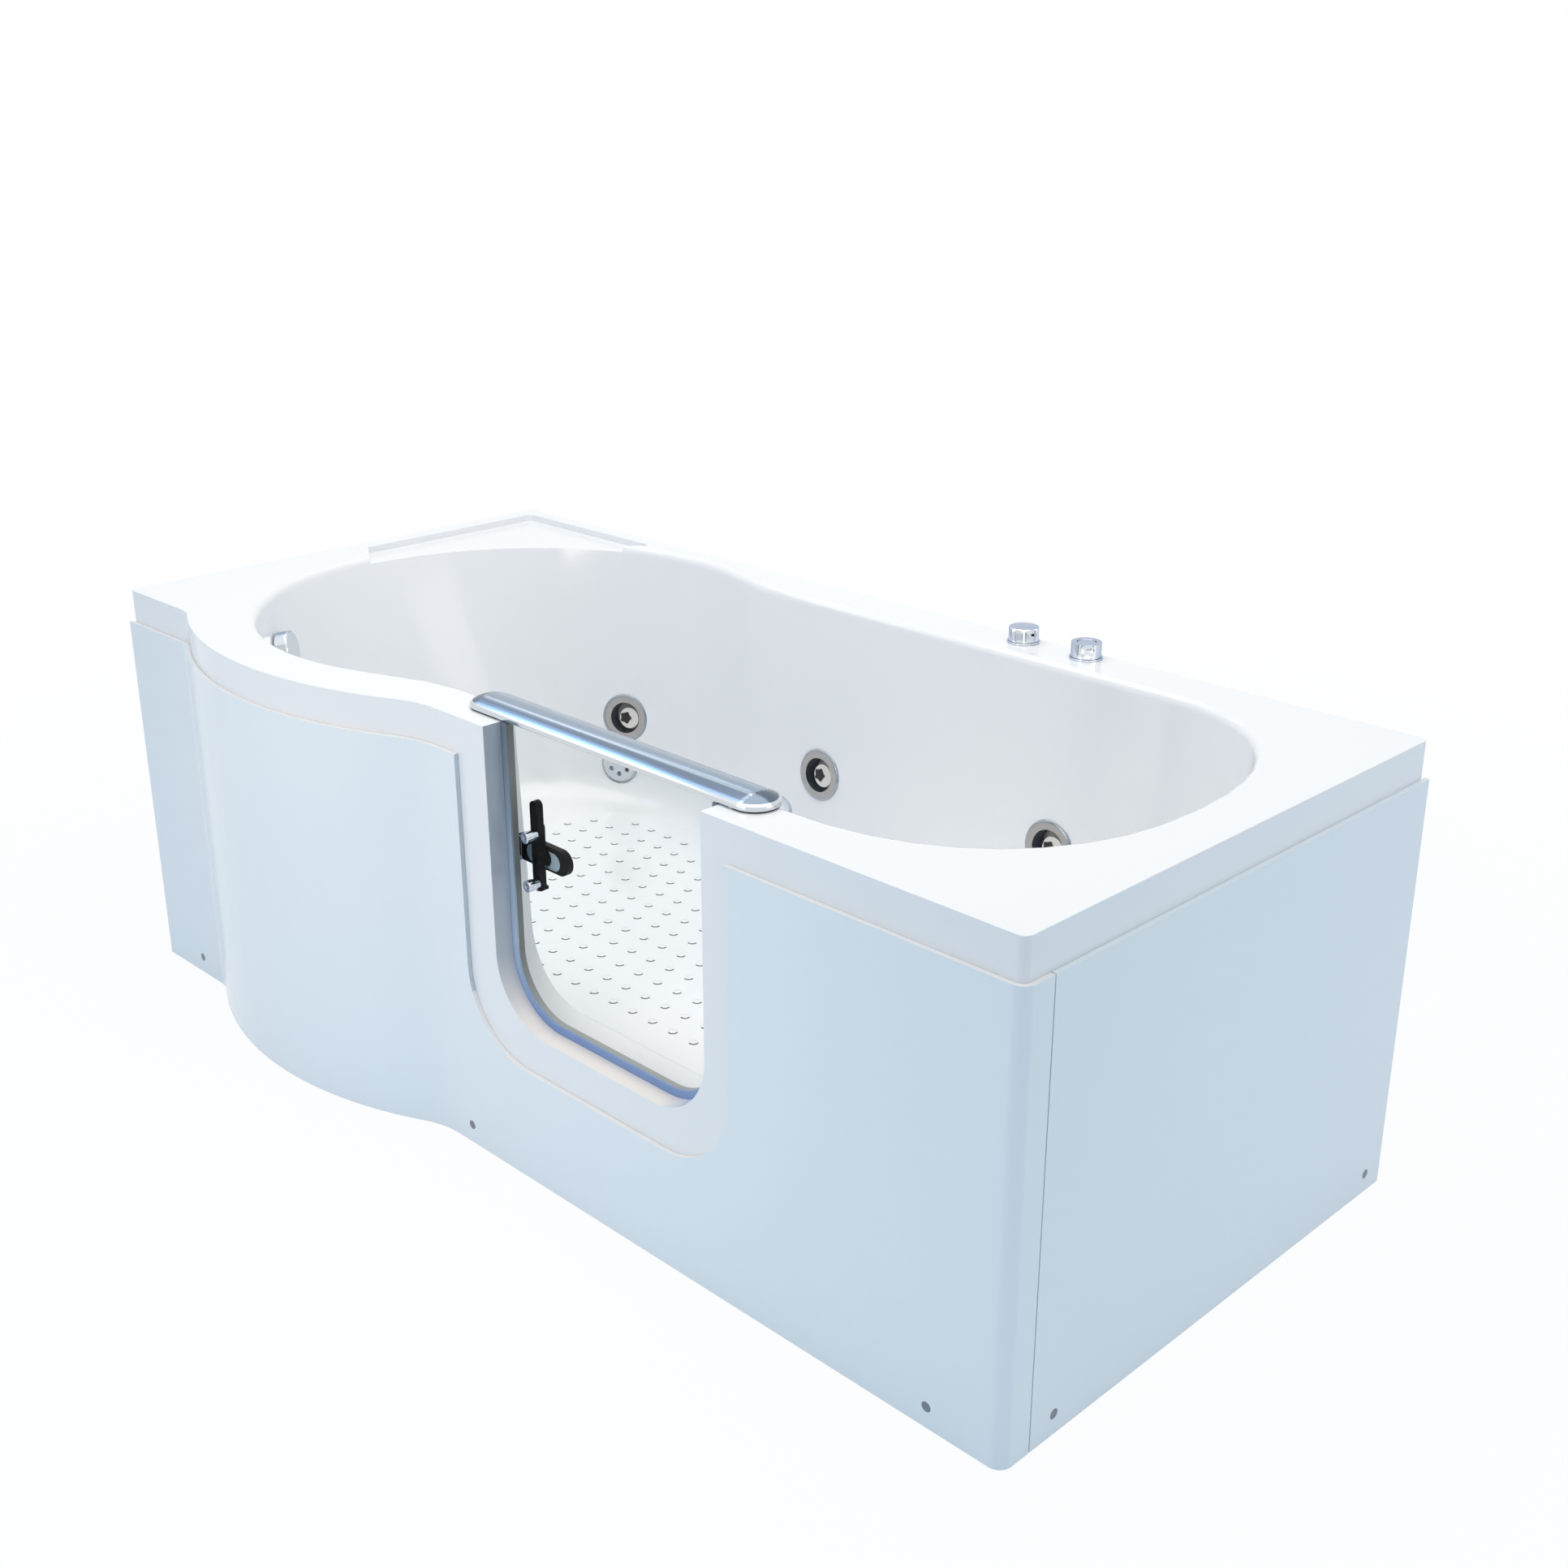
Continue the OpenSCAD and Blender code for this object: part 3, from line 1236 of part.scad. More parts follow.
module drain_trap() {
    z = floor_height;
    color("gray") difference() {
        union() {
            translate([drain_place.x, drain_place.y, trap_z])
                cylinder(r = waste_pipe + 6, h = z - shell_wall - 0.3 - trap_z);
            translate([drain_place.x, drain_place.y, z - shell_wall - 10.3]) cylinder(r = 40, h = 10);
            pipe_run([[drain_place.x, drain_place.y, trap_z + 10], [drain_place.x, drain_place.y, 34],
                [drain_place.x - 90, drain_place.y, 34], [drain_place.x - 90, drain_place.y, trap_z],
                [trap_out_x + eps, drain_place.y, trap_z]], waste_pipe - 2.1);
            pipe([trap_out_x, drain_place.y, trap_z],
                [trap_out_x + spigot_length, drain_place.y, trap_z], waste_pipe);
        }
        translate([drain_place.x, drain_place.y, trap_z + 6]) cylinder(r = 23.7, h = 150);
        pipe([trap_out_x - 1, drain_place.y, trap_z], [trap_out_x + 40, drain_place.y, trap_z],
            waste_pipe - 2);
    }
}

// ---------- assembly ----------
centre = [panel_proud / 2, (tub_depth - bulge_depth - panel_proud) / 2];
module placed() { translate([-centre.x, -centre.y, 0]) children(); }

placed() tub_shell();
placed() base_board();
placed() door_frame();
placed() door_seal();
placed() front_panel();
placed() end_panel();
placed() panel_blocks();
placed() panel_screws();
placed() screw_caps();
placed() leg_bar_left();
placed() leg_bar_middle();
placed() leg_bar_right();
placed() portal_post_left();
placed() portal_post_right();
placed() portal_sill_beam();
placed() foot_studs();
placed() foot_nuts();
placed() foot_pads();
placed() hinge_post();
placed() hinge_brackets();
placed() latch_keeper();
placed() fixing_screws();
placed() jet_flange_left();
placed() jet_flange_middle();
placed() jet_flange_right();
placed() jet_body_left();
placed() jet_body_middle();
placed() jet_body_right();
placed() jet_nozzle_left();
placed() jet_nozzle_middle();
placed() jet_nozzle_right();
placed() suction_cover();
placed() suction_body();
placed() water_manifold();
placed() air_manifold();
placed() suction_pipe();
placed() pump_volute();
placed() pump_motor();
placed() pump_impeller();
placed() air_valve_body();
placed() air_knob();
placed() switch_body();
placed() switch_collar();
placed() start_button();
placed() overflow_body();
placed() overflow_knob();
placed() overflow_pipe();
placed() drain_flange();
placed() drain_plug();
placed() drain_trap();
placed() door_glass();
placed() top_rail();
placed() rail_gaskets();
placed() hinge_clamps();
placed() latch_body();
placed() latch_bolts();
placed() latch_spindle();
placed() latch_handle();
placed() latch_inlay();
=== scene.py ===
# %% [markdown]
# # A walk-in bathtub with a glass door
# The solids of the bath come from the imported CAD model. This lesson dresses them: it gives each
# finish its material, models the pieces whose fine shape shows in the photograph, and lights the
# bath like a studio product picture on white.

import json
import math

import bmesh
import bpy
from mathutils import Matrix, Vector
from mathutils.bvhtree import BVHTree


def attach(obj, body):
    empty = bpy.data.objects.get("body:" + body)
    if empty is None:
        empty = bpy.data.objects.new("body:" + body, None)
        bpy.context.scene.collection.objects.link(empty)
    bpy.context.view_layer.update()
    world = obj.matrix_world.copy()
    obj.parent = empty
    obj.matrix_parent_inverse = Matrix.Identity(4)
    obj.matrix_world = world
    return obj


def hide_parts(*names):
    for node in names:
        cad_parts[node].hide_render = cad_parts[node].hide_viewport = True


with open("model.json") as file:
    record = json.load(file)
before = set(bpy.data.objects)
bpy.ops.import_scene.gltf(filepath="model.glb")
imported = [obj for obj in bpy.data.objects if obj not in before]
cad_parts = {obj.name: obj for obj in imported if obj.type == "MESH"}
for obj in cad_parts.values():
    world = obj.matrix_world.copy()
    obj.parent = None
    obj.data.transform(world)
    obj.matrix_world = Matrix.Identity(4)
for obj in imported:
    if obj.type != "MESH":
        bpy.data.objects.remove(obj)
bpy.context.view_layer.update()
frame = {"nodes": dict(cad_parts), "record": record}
nodes = frame["nodes"]

# %% [markdown]
# ## Camera
# The picture was taken from the front right at a downward angle. The place, the direction and the
# lens were worked out from the bath's straight edges, so the camera is set from those values.

# %% Camera
# Where the drawing's origin, on the rim's front, lies in the frame
ORIGIN = Vector((-0.00325, -0.33825, 0.0))
CAMERA_PLACE = Vector((1.7923, -1.5954, 1.3496))
CAMERA_LOOK = Vector((-0.65998, 0.65983, -0.35923))
CAMERA_LENS = 43.54


def make_camera():
    data = bpy.data.cameras.new("product_camera")
    data.lens = CAMERA_LENS
    data.sensor_width = 36.0
    data.clip_start, data.clip_end = 0.05, 60.0
    camera = bpy.data.objects.new("product_camera", data)
    bpy.context.scene.collection.objects.link(camera)
    camera.location = CAMERA_PLACE
    camera.rotation_mode = "QUATERNION"
    camera.rotation_quaternion = CAMERA_LOOK.to_track_quat("-Z", "Y")
    bpy.context.scene.camera = camera
    return camera


make_camera()
print("camera at", tuple(CAMERA_PLACE), "lens", CAMERA_LENS, "mm")

# %% [markdown]
# ## Material helpers
# Every finish is a node tree on the Principled shader. Two shared groups make what most finishes
# need: a slow change of tone over the surface, and a fine grain that also drives the bump. They
# are built once and placed in each material with that material's own sizes.

# %% Shared node groups
def new_group(name, inputs, outputs):
    group = bpy.data.node_groups.new(name, "ShaderNodeTree")
    for label, kind, value in inputs:
        socket = group.interface.new_socket(label, in_out="INPUT", socket_type=kind)
        if value is not None:
            socket.default_value = value
    for label, kind in outputs:
        group.interface.new_socket(label, in_out="OUTPUT", socket_type=kind)
    return group, group.nodes.new("NodeGroupInput"), group.nodes.new("NodeGroupOutput")


def make_tone_group():
    """Two tones mixed by soft clouds, for the slow colour change of moulded and painted surfaces."""
    group, given, made = new_group(
        "soft_tone",
        [("Light", "NodeSocketColor", (1, 1, 1, 1)), ("Dark", "NodeSocketColor", (0.8, 0.8, 0.8, 1)),
         ("Size", "NodeSocketFloat", 6.0), ("Amount", "NodeSocketFloat", 0.5)],
        [("Color", "NodeSocketColor"), ("Mask", "NodeSocketFloat")])
    nt = group.nodes
    place = nt.new("ShaderNodeTexCoord")
    clouds = nt.new("ShaderNodeTexNoise")
    clouds.inputs["Detail"].default_value = 3.0
    clouds.inputs["Roughness"].default_value = 0.55
    mix = nt.new("ShaderNodeMix")
    mix.data_type = "RGBA"
    strength = nt.new("ShaderNodeMath")
    strength.operation = "MULTIPLY"
    link = group.links.new
    link(place.outputs["Object"], clouds.inputs["Vector"])
    link(given.outputs["Size"], clouds.inputs["Scale"])
    link(clouds.outputs["Fac"], strength.inputs[0])
    link(given.outputs["Amount"], strength.inputs[1])
    link(strength.outputs[0], mix.inputs["Factor"])
    link(given.outputs["Light"], mix.inputs["A"])
    link(given.outputs["Dark"], mix.inputs["B"])
    link(mix.outputs["Result"], made.inputs["Color"])
    link(clouds.outputs["Fac"], made.inputs["Mask"])
    return group


def make_grain_group():
    """A fine grain: a roughness that changes a little, and a height for the bump."""
    group, given, made = new_group(
        "fine_grain",
        [("Size", "NodeSocketFloat", 400.0), ("Roughness", "NodeSocketFloat", 0.3),
         ("Spread", "NodeSocketFloat", 0.1)],
        [("Roughness", "NodeSocketFloat"), ("Height", "NodeSocketFloat")])
    nt = group.nodes
    place = nt.new("ShaderNodeTexCoord")
    grain = nt.new("ShaderNodeTexNoise")
    grain.inputs["Detail"].default_value = 4.0
    centred = nt.new("ShaderNodeMath")
    centred.operation = "SUBTRACT"
    centred.inputs[1].default_value = 0.5
    spread = nt.new("ShaderNodeMath")
    spread.operation = "MULTIPLY_ADD"
    link = group.links.new
    link(place.outputs["Object"], grain.inputs["Vector"])
    link(given.outputs["Size"], grain.inputs["Scale"])
    link(grain.outputs["Fac"], centred.inputs[0])
    link(centred.outputs[0], spread.inputs[0])
    link(given.outputs["Spread"], spread.inputs[1])
    link(given.outputs["Roughness"], spread.inputs[2])
    link(spread.outputs[0], made.inputs["Roughness"])
    link(grain.outputs["Fac"], made.inputs["Height"])
    return group


tone_group = make_tone_group()
grain_group = make_grain_group()
print("shared groups:", tone_group.name, grain_group.name)

# %% One finish from the shared groups
def shade(color, factor):
    return tuple(min(1.0, c * factor) for c in color[:3])


def finish(name, color, dark=0.94, tone_size=5.0, roughness=0.3, grain_size=300.0, spread=0.08,
           bump=0.02, bump_distance=0.0005, metallic=0.0, coat=0.0, coat_roughness=0.05, ior=1.5,
           specular=0.5, tint=None, edge=None, edge_blend=0.4):
    """A material: tone clouds to Base Color, grain to Roughness and Bump, plain numbers elsewhere.
    An edge colour is mixed in where a metal turns away from the eye: a painted reflection, darker or
    paler than the metal."""
    material = bpy.data.materials.new(name)
    material.use_nodes = True
    nt = material.node_tree
    shader = nt.nodes["Principled BSDF"]
    tone = nt.nodes.new("ShaderNodeGroup")
    tone.node_tree = tone_group
    tone.inputs["Light"].default_value = (*color, 1.0)
    tone.inputs["Dark"].default_value = (*(tint or shade(color, dark)), 1.0)
    tone.inputs["Size"].default_value = tone_size
    tone.inputs["Amount"].default_value = 1.0
    grain = nt.nodes.new("ShaderNodeGroup")
    grain.node_tree = grain_group
    grain.inputs["Size"].default_value = grain_size
    grain.inputs["Roughness"].default_value = roughness
    grain.inputs["Spread"].default_value = spread
    relief = nt.nodes.new("ShaderNodeBump")
    relief.inputs["Strength"].default_value = bump
    relief.inputs["Distance"].default_value = bump_distance
    shown = tone.outputs["Color"]
    if edge:
        turned = nt.nodes.new("ShaderNodeLayerWeight")
        turned.inputs["Blend"].default_value = edge_blend
        darker = nt.nodes.new("ShaderNodeMix")
        darker.data_type = "RGBA"
        darker.inputs["B"].default_value = (*edge, 1.0)
        nt.links.new(turned.outputs["Facing"], darker.inputs["Factor"])
        nt.links.new(shown, darker.inputs["A"])
        shown = darker.outputs["Result"]
    nt.links.new(shown, shader.inputs["Base Color"])
    nt.links.new(grain.outputs["Roughness"], shader.inputs["Roughness"])
    nt.links.new(grain.outputs["Height"], relief.inputs["Height"])
    nt.links.new(relief.outputs["Normal"], shader.inputs["Normal"])
    shader.inputs["Metallic"].default_value = metallic
    shader.inputs["Coat Weight"].default_value = coat
    shader.inputs["Coat Roughness"].default_value = coat_roughness
    shader.inputs["IOR"].default_value = ior
    shader.inputs["Specular IOR Level"].default_value = specular
    return material


def tint_along(material, stops, axis="Z", shift=0.0):
    """Colours along an axis, each with its place in millimetres. The shift, in metres, takes the
    drawing's zero to the frame's."""
    nt = material.node_tree
    tone = next(n for n in nt.nodes if n.type == "GROUP" and n.node_tree == tone_group)
    place = nt.nodes.new("ShaderNodeTexCoord")
    split = nt.nodes.new("ShaderNodeSeparateXYZ")
    height = nt.nodes.new("ShaderNodeMapRange")
    low, high = stops[0][0], stops[-1][0]
    height.inputs["From Min"].default_value = low / 1000 + shift
    height.inputs["From Max"].default_value = high / 1000 + shift
    ramp = nt.nodes.new("ShaderNodeValToRGB")
    while len(ramp.color_ramp.elements) < len(stops):
        ramp.color_ramp.elements.new(0.5)
    for element, (level, color) in zip(ramp.color_ramp.elements, stops):
        element.position = (level - low) / (high - low)
        element.color = (*color, 1.0)
    nt.links.new(place.outputs["Object"], split.inputs[0])
    nt.links.new(split.outputs[axis], height.inputs["Value"])
    nt.links.new(height.outputs["Result"], ramp.inputs["Fac"])
    nt.links.new(ramp.outputs["Color"], tone.inputs["Light"])
    tone.inputs["Amount"].default_value = 0.12


# %% [markdown]
# ## Finishes
# The tub is glossy white acrylic, the panels are the same sheet in a pale blue grey, and the
# fittings are chromed brass and plastic. Chrome is a smooth metal with hardly any grain. The steel
# of the frame below is brushed or painted, and the pipes are plain moulded plastic.

# %% Build the finishes
finishes = {
    "shell_white": finish("tub_acrylic", (0.885, 0.902, 0.918), dark=0.985, tone_size=3.0,
                          roughness=0.16, grain_size=220.0, spread=0.04, bump=0.01, coat=0.25),
    "panel_blue": finish("panel_acrylic", (0.84, 0.90, 0.935), dark=0.975, tone_size=2.5,
                         roughness=0.20, grain_size=160.0, spread=0.05, bump=0.015, coat=0.2),
    "frame_grey": finish("frame_plastic", (0.72, 0.75, 0.78), dark=0.95, tone_size=12.0,
                         roughness=0.32, grain_size=900.0),
    "reveal": finish("reveal_acrylic", (0.8, 0.8, 0.8), dark=0.97, tone_size=6.0, roughness=0.2,
                     grain_size=220.0, spread=0.04, bump=0.01, coat=0.2),
    # The front panel's cut edges: painted light where they face up, painted shade at the doorway's
    # sides.
    "edge_painted_light": finish("panel_edge", (0.94, 0.925, 0.91), dark=0.97, tone_size=20.0,
                         roughness=0.3, grain_size=400.0),
    "edge_painted_shade": finish("panel_shadow_edge", (0.62, 0.69, 0.75), dark=0.9, tone_size=20.0,
                        roughness=0.4, grain_size=400.0),
    "seal_rubber": finish("seal_lip", (0.36, 0.355, 0.34), dark=0.85, tone_size=30.0,
                          roughness=0.5, grain_size=1500.0, bump=0.08),
    "black_rubber": finish("black_rubber", (0.018, 0.018, 0.019), dark=0.7, tone_size=40.0,
                           roughness=0.55, grain_size=1800.0, bump=0.15),
    "board_wood": finish("chipboard", (0.56, 0.42, 0.27), dark=0.6, tone_size=90.0, roughness=0.7,
                         grain_size=500.0, spread=0.2, bump=0.4, tint=(0.33, 0.23, 0.13)),
    "steel": finish("zinc_steel", (0.56, 0.565, 0.57), dark=0.8, tone_size=60.0, roughness=0.32,
                    grain_size=900.0, spread=0.2, bump=0.05, metallic=1.0),
    "leg_paint": finish("leg_paint", (0.085, 0.088, 0.095), dark=0.8, tone_size=20.0,
                        roughness=0.42, grain_size=700.0, bump=0.12),
    "cap_grey": finish("cap_plastic", (0.20, 0.235, 0.27), dark=0.85, tone_size=60.0,
                       roughness=0.25, grain_size=800.0),
    # Chrome's dark blue edge colour is a painted reflection.
    "chrome": finish("chrome", (0.80, 0.82, 0.85), dark=0.97, tone_size=10.0, roughness=0.055,
                     grain_size=600.0, spread=0.03, bump=0.004, metallic=1.0,
                     edge=(0.06, 0.19, 0.42), edge_blend=0.35),
    "rail_metal": finish("polished_rail", (0.27, 0.35, 0.45), dark=0.95, tone_size=8.0,
                         roughness=0.17, grain_size=500.0, spread=0.05, bump=0.01, metallic=1.0),
    # The rail's silver side and its dark rounded ends are copies of its metal in painted reflections.
    "rail_side": finish("rail_side", (0.66, 0.69, 0.72), dark=0.96, tone_size=8.0,
                        roughness=0.12, grain_size=500.0, spread=0.04, bump=0.006, metallic=1.0),
    "rail_end_painted_reflection": finish("rail_end_painted_reflection", (0.13, 0.17, 0.225), dark=0.95, tone_size=8.0,
                       roughness=0.17, grain_size=500.0, spread=0.05, bump=0.01, metallic=1.0),
    "jet_face": finish("jet_plastic", (0.47, 0.45, 0.43), dark=0.93, tone_size=25.0,
                       roughness=0.26, grain_size=900.0, metallic=0.35),
    # A lighter copy of the jets' beige plastic for the nozzle's face: painted light.
    "jet_disc_painted_light": finish("jet_disc_painted_light", (0.80, 0.76, 0.71), dark=0.95, tone_size=25.0,
                       roughness=0.35, grain_size=900.0, metallic=0.2),
    # The jets' recess: painted shade, dark navy, with a paler painted reflection where it turns away.
    "jet_well_painted_shade": finish("jet_well_painted_shade", (0.045, 0.065, 0.115), dark=0.4, tone_size=70.0,
                       roughness=0.12, grain_size=600.0, metallic=0.8, edge=(0.30, 0.34, 0.40)),
    "jet_tube": finish("jet_tube", (0.20, 0.205, 0.215), dark=0.85, tone_size=60.0,
                       roughness=0.25, grain_size=900.0, metallic=0.4),
    # Painted shade for the insides of bores and openings.
    "bore_painted_shade": finish("bore_painted_shade", (0.008, 0.008, 0.010), dark=0.7, tone_size=60.0,
                         roughness=0.35, grain_size=900.0),
    # Painted shade for the studs' sides towards the doorway.
    "stud_shade": finish("stud_painted_shade", (0.12, 0.135, 0.145), dark=0.9, tone_size=30.0,
                         roughness=0.4, grain_size=700.0),
    "rotor_black": finish("rotor_plastic", (0.030, 0.031, 0.035), dark=0.8, tone_size=40.0,
                          roughness=0.3, grain_size=900.0),
    "pipe_white": finish("pipe_plastic", (0.72, 0.72, 0.70), dark=0.93, tone_size=14.0,
                         roughness=0.42, grain_size=500.0, bump=0.05),
    "pump_black": finish("pump_plastic", (0.022, 0.022, 0.024), dark=0.75, tone_size=18.0,
                         roughness=0.45, grain_size=700.0, bump=0.15),
    "motor_grey": finish("motor_paint", (0.16, 0.17, 0.18), dark=0.85, tone_size=16.0,
                         roughness=0.4, grain_size=600.0, bump=0.15),
    "latch_black": finish("latch_plastic", (0.004, 0.004, 0.005), dark=0.8, tone_size=30.0,
                          roughness=0.45, grain_size=800.0, specular=0.08),
    # A painted highlight for the latch bar's edge.
    "bar_edge_painted_highlight": finish("bar_edge_painted_highlight", (0.55, 0.56, 0.56), dark=0.85, tone_size=60.0,
                       roughness=0.3, grain_size=900.0),
    # Pale painted light for the suction parts, and a painted reflection on the overflow knob's face.
    "pale_painted_light": finish("pale_painted_light_finish", (0.68, 0.73, 0.765), dark=0.94, tone_size=25.0,
                           roughness=0.34, grain_size=900.0),
    # The jets' outer rim: a blue grey painted reflection, paler where it turns away.
    "jet_rim_painted_reflection": finish("jet_rim_painted_reflection", (0.34, 0.385, 0.44), dark=0.92, tone_size=25.0,
                      roughness=0.16, grain_size=900.0, metallic=0.9, edge=(0.55, 0.58, 0.62)),
    "inlay_blue": finish("inlay_plastic", (0.30, 0.41, 0.51), dark=0.9, tone_size=30.0,
                         roughness=0.28, grain_size=900.0),
}
# Three finishes change with the height, to stand for the shade that the photograph shows there
# Door frame: painted reflections, deep blue at the bottom and pale blue in the middle, and painted
# shade towards the top.
tint_along(finishes["frame_grey"], [(219, (0.17, 0.30, 0.60)), (240, (0.24, 0.37, 0.62)),
                                        (310, (0.44, 0.56, 0.70)), (600, (0.13, 0.17, 0.21))])
# Door seal: painted light, paler at the bottom where it faces up.
tint_along(finishes["seal_rubber"], [(215, (0.40, 0.42, 0.41)), (300, (0.24, 0.25, 0.235)),
                                         (600, (0.24, 0.235, 0.21))])
# Reveal: painted light, warm and pale on the bottom that faces up, and painted shade darkening up the
# jamb.
tint_along(finishes["reveal"], [(209, (0.93, 0.88, 0.83)), (222, (0.90, 0.86, 0.83)),
                                    (300, (0.54, 0.58, 0.64)), (600, (0.36, 0.42, 0.48))])
# The rail's crown is painted with the reflections that it has at the photograph's angle: a bright
# band at its front, a dark one behind it and a narrow streak. They don't move with the view.
tint_along(finishes["rail_metal"], [(26.5, (0.33, 0.50, 0.78)), (31.5, (0.33, 0.50, 0.78)),
                                    (34, (0.17, 0.225, 0.31)), (43, (0.19, 0.25, 0.34)),
                                    (45, (0.44, 0.50, 0.56)), (48, (0.29, 0.37, 0.47)),
                                    (85, (0.30, 0.39, 0.49))], "Y", ORIGIN.y)
print("finishes:", len(finishes))

# %% [markdown]
# ## Glass
# The door is 8 mm safety glass. It keeps a plain Transmission Weight, and only its roughness
# carries a trace of wiping marks, so that a clear pane still isn't a single flat value.

# %% Door glass
def make_glass():
    material = bpy.data.materials.new("safety_glass")
    material.use_nodes = True
    nt = material.node_tree
    shader = nt.nodes["Principled BSDF"]
    tone = nt.nodes.new("ShaderNodeGroup")
    tone.node_tree = tone_group
    tone.inputs["Light"].default_value = (0.985, 0.995, 0.99, 1.0)
    tone.inputs["Dark"].default_value = (0.965, 0.985, 0.98, 1.0)
    tone.inputs["Size"].default_value = 4.0
    tone.inputs["Amount"].default_value = 1.0
    grain = nt.nodes.new("ShaderNodeGroup")
    grain.node_tree = grain_group
    grain.inputs["Size"].default_value = 12.0
    grain.inputs["Roughness"].default_value = 0.012
    grain.inputs["Spread"].default_value = 0.015
    nt.links.new(tone.outputs["Color"], shader.inputs["Base Color"])
    nt.links.new(grain.outputs["Roughness"], shader.inputs["Roughness"])
    shader.inputs["Metallic"].default_value = 0.0
    shader.inputs["Transmission Weight"].default_value = 1.0
    shader.inputs["IOR"].default_value = 1.08
    return material


finishes["door_glass"] = make_glass()

# %% Give every CAD node its finish
slot_of = {part["node"]: part["material_slot"] for part in frame["record"]["subparts"]}
for name, node in nodes.items():
    node.data.materials.clear()
    node.data.materials.append(finishes[slot_of[name]])
print("dressed nodes:", len(nodes))

# %% [markdown]
# ## Finer copies of the solids
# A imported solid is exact, but its edges are knife-sharp and its mesh is loose triangles. Each one
# gets a merged copy with its flats joined and its hard edges rounded by the small radius that
# moulding, casting or polishing leaves. The copy then stands for the solid.

# %% Tools for pieces
body_of = {name: body for body, names in frame["record"]["behaviour"]["bodies"].items()
           for name in names}


def spot(x, y, z):
    """A place in the bath's drawing, in millimetres from its rim's front, as metres in the frame."""
    return Vector((x, y, z)) / 1000 + ORIGIN


def drawn(point):
    """The other way: a point of the frame as millimetres in the drawing."""
    return (point - ORIGIN) * 1000


def smooth_out(mesh, sharp):
    """Outward normals, and smooth shading that stops at edges sharper than an angle."""
    bmesh.ops.recalc_face_normals(mesh, faces=mesh.faces[:])
    for face in mesh.faces:
        face.smooth = True
    for edge in mesh.edges:
        edge.smooth = not (edge.is_manifold and edge.calc_face_angle() > math.radians(sharp))


def add_piece(name, mesh, slot, body, stands_for=(), sharp=38.0, weighted=True):
    """Puts a finished mesh in the scene, dressed, riding on its body."""
    smooth_out(mesh, sharp)
    data = bpy.data.meshes.new(name)
    mesh.to_mesh(data)
    mesh.free()
    piece = bpy.data.objects.new(name, data)
    bpy.context.scene.collection.objects.link(piece)
    data.materials.append(finishes[slot])
    if weighted:
        even = piece.modifiers.new("even_normals", "WEIGHTED_NORMAL")
        even.keep_sharp = True
        even.weight = 50
    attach(piece, body)
    if stands_for:
        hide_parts(*stands_for)
    return piece


def merged(node, flat=0.15):
    """The node's mesh with its loose triangles joined, and its flats made single faces."""
    mesh = bmesh.new()
    mesh.from_mesh(nodes[node].data)
    bmesh.ops.remove_doubles(mesh, verts=mesh.verts[:], dist=2e-6)
    bmesh.ops.dissolve_degenerate(mesh, dist=1e-6, edges=mesh.edges[:])
    bmesh.ops.dissolve_limit(mesh, angle_limit=math.radians(flat), use_dissolve_boundaries=False,
                             verts=mesh.verts[:], edges=mesh.edges[:])
    bmesh.ops.recalc_face_normals(mesh, faces=mesh.faces[:])
    return mesh


def hard_edges(mesh, sharp=40.0, chosen=None):
    return [e for e in mesh.edges if e.is_manifold and e.calc_face_angle() > math.radians(sharp)
            and (chosen is None or chosen(drawn((e.verts[0].co + e.verts[1].co) / 2), e))]


def round_off(mesh, edges, width, segments=2):
    """Rounds edges by a width in millimetres."""
    if edges:
        bmesh.ops.bevel(mesh, geom=edges, offset=width / 1000, offset_type="OFFSET",
                        segments=segments, profile=0.5, affect="EDGES", clamp_overlap=True,
                        loop_slide=True, material=-1)


# %% Copies with rounded edges
EDGE_RADII = {
    "front_panel": 1.1, "end_panel": 1.1, "top_rail": 1.2, "door_frame": 0.6, "door_glass": 0.7,
    "latch_body": 1.5, "latch_handle": 1.6, "latch_bolts": 0.5, "latch_spindle": 0.5,
    "latch_inlay": 0.3, "latch_keeper": 0.4, "rail_gaskets": 0.2, "hinge_post": 0.6,
    "hinge_brackets": 0.8, "hinge_clamps": 0.8, "fixing_screws": 0.3, "overflow_knob": 0.9,
    "drain_flange": 0.4, "drain_plug": 0.4, "suction_cover": 0.8, "screw_caps": 0.5,
    "base_board": 0.8, "leg_bar_left": 0.9, "leg_bar_middle": 0.9, "leg_bar_right": 0.9,
    "portal_post_left": 0.9, "portal_post_right": 0.9, "portal_sill_beam": 0.9, "foot_studs": 0.5,
    "foot_nuts": 0.6, "foot_pads": 1.2, "pump_volute": 1.5, "pump_motor": 1.5,
    "pump_impeller": 0.6, "jet_flange_left": 0.35, "jet_flange_middle": 0.35,
    "jet_flange_right": 0.35, "jet_nozzle_left": 0.3, "jet_nozzle_middle": 0.3,
    "jet_nozzle_right": 0.3, "jet_body_left": 0.4, "jet_body_middle": 0.4, "jet_body_right": 0.4,
    "suction_body": 0.5, "water_manifold": 0.5, "air_manifold": 0.5, "suction_pipe": 0.5,
    "overflow_body": 0.5, "overflow_pipe": 0.5, "drain_trap": 0.6, "air_valve_body": 0.7,
    "switch_body": 0.7, "switch_collar": 0.8, "start_button": 0.7, "door_seal": 0.5,
    "panel_blocks": 0.8, "panel_screws": 0.3,
}


def finer_copy(node, width, segments=3):
    mesh = merged(node)
    round_off(mesh, hard_edges(mesh), width, segments)
    return add_piece(node + "_fine", mesh, slot_of[node], body_of[node], [node])


copies = {}
for name, radius in EDGE_RADII.items():
    copies[name] = finer_copy(name, radius)
    print(name, "->", len(copies[name].data.polygons), "faces")

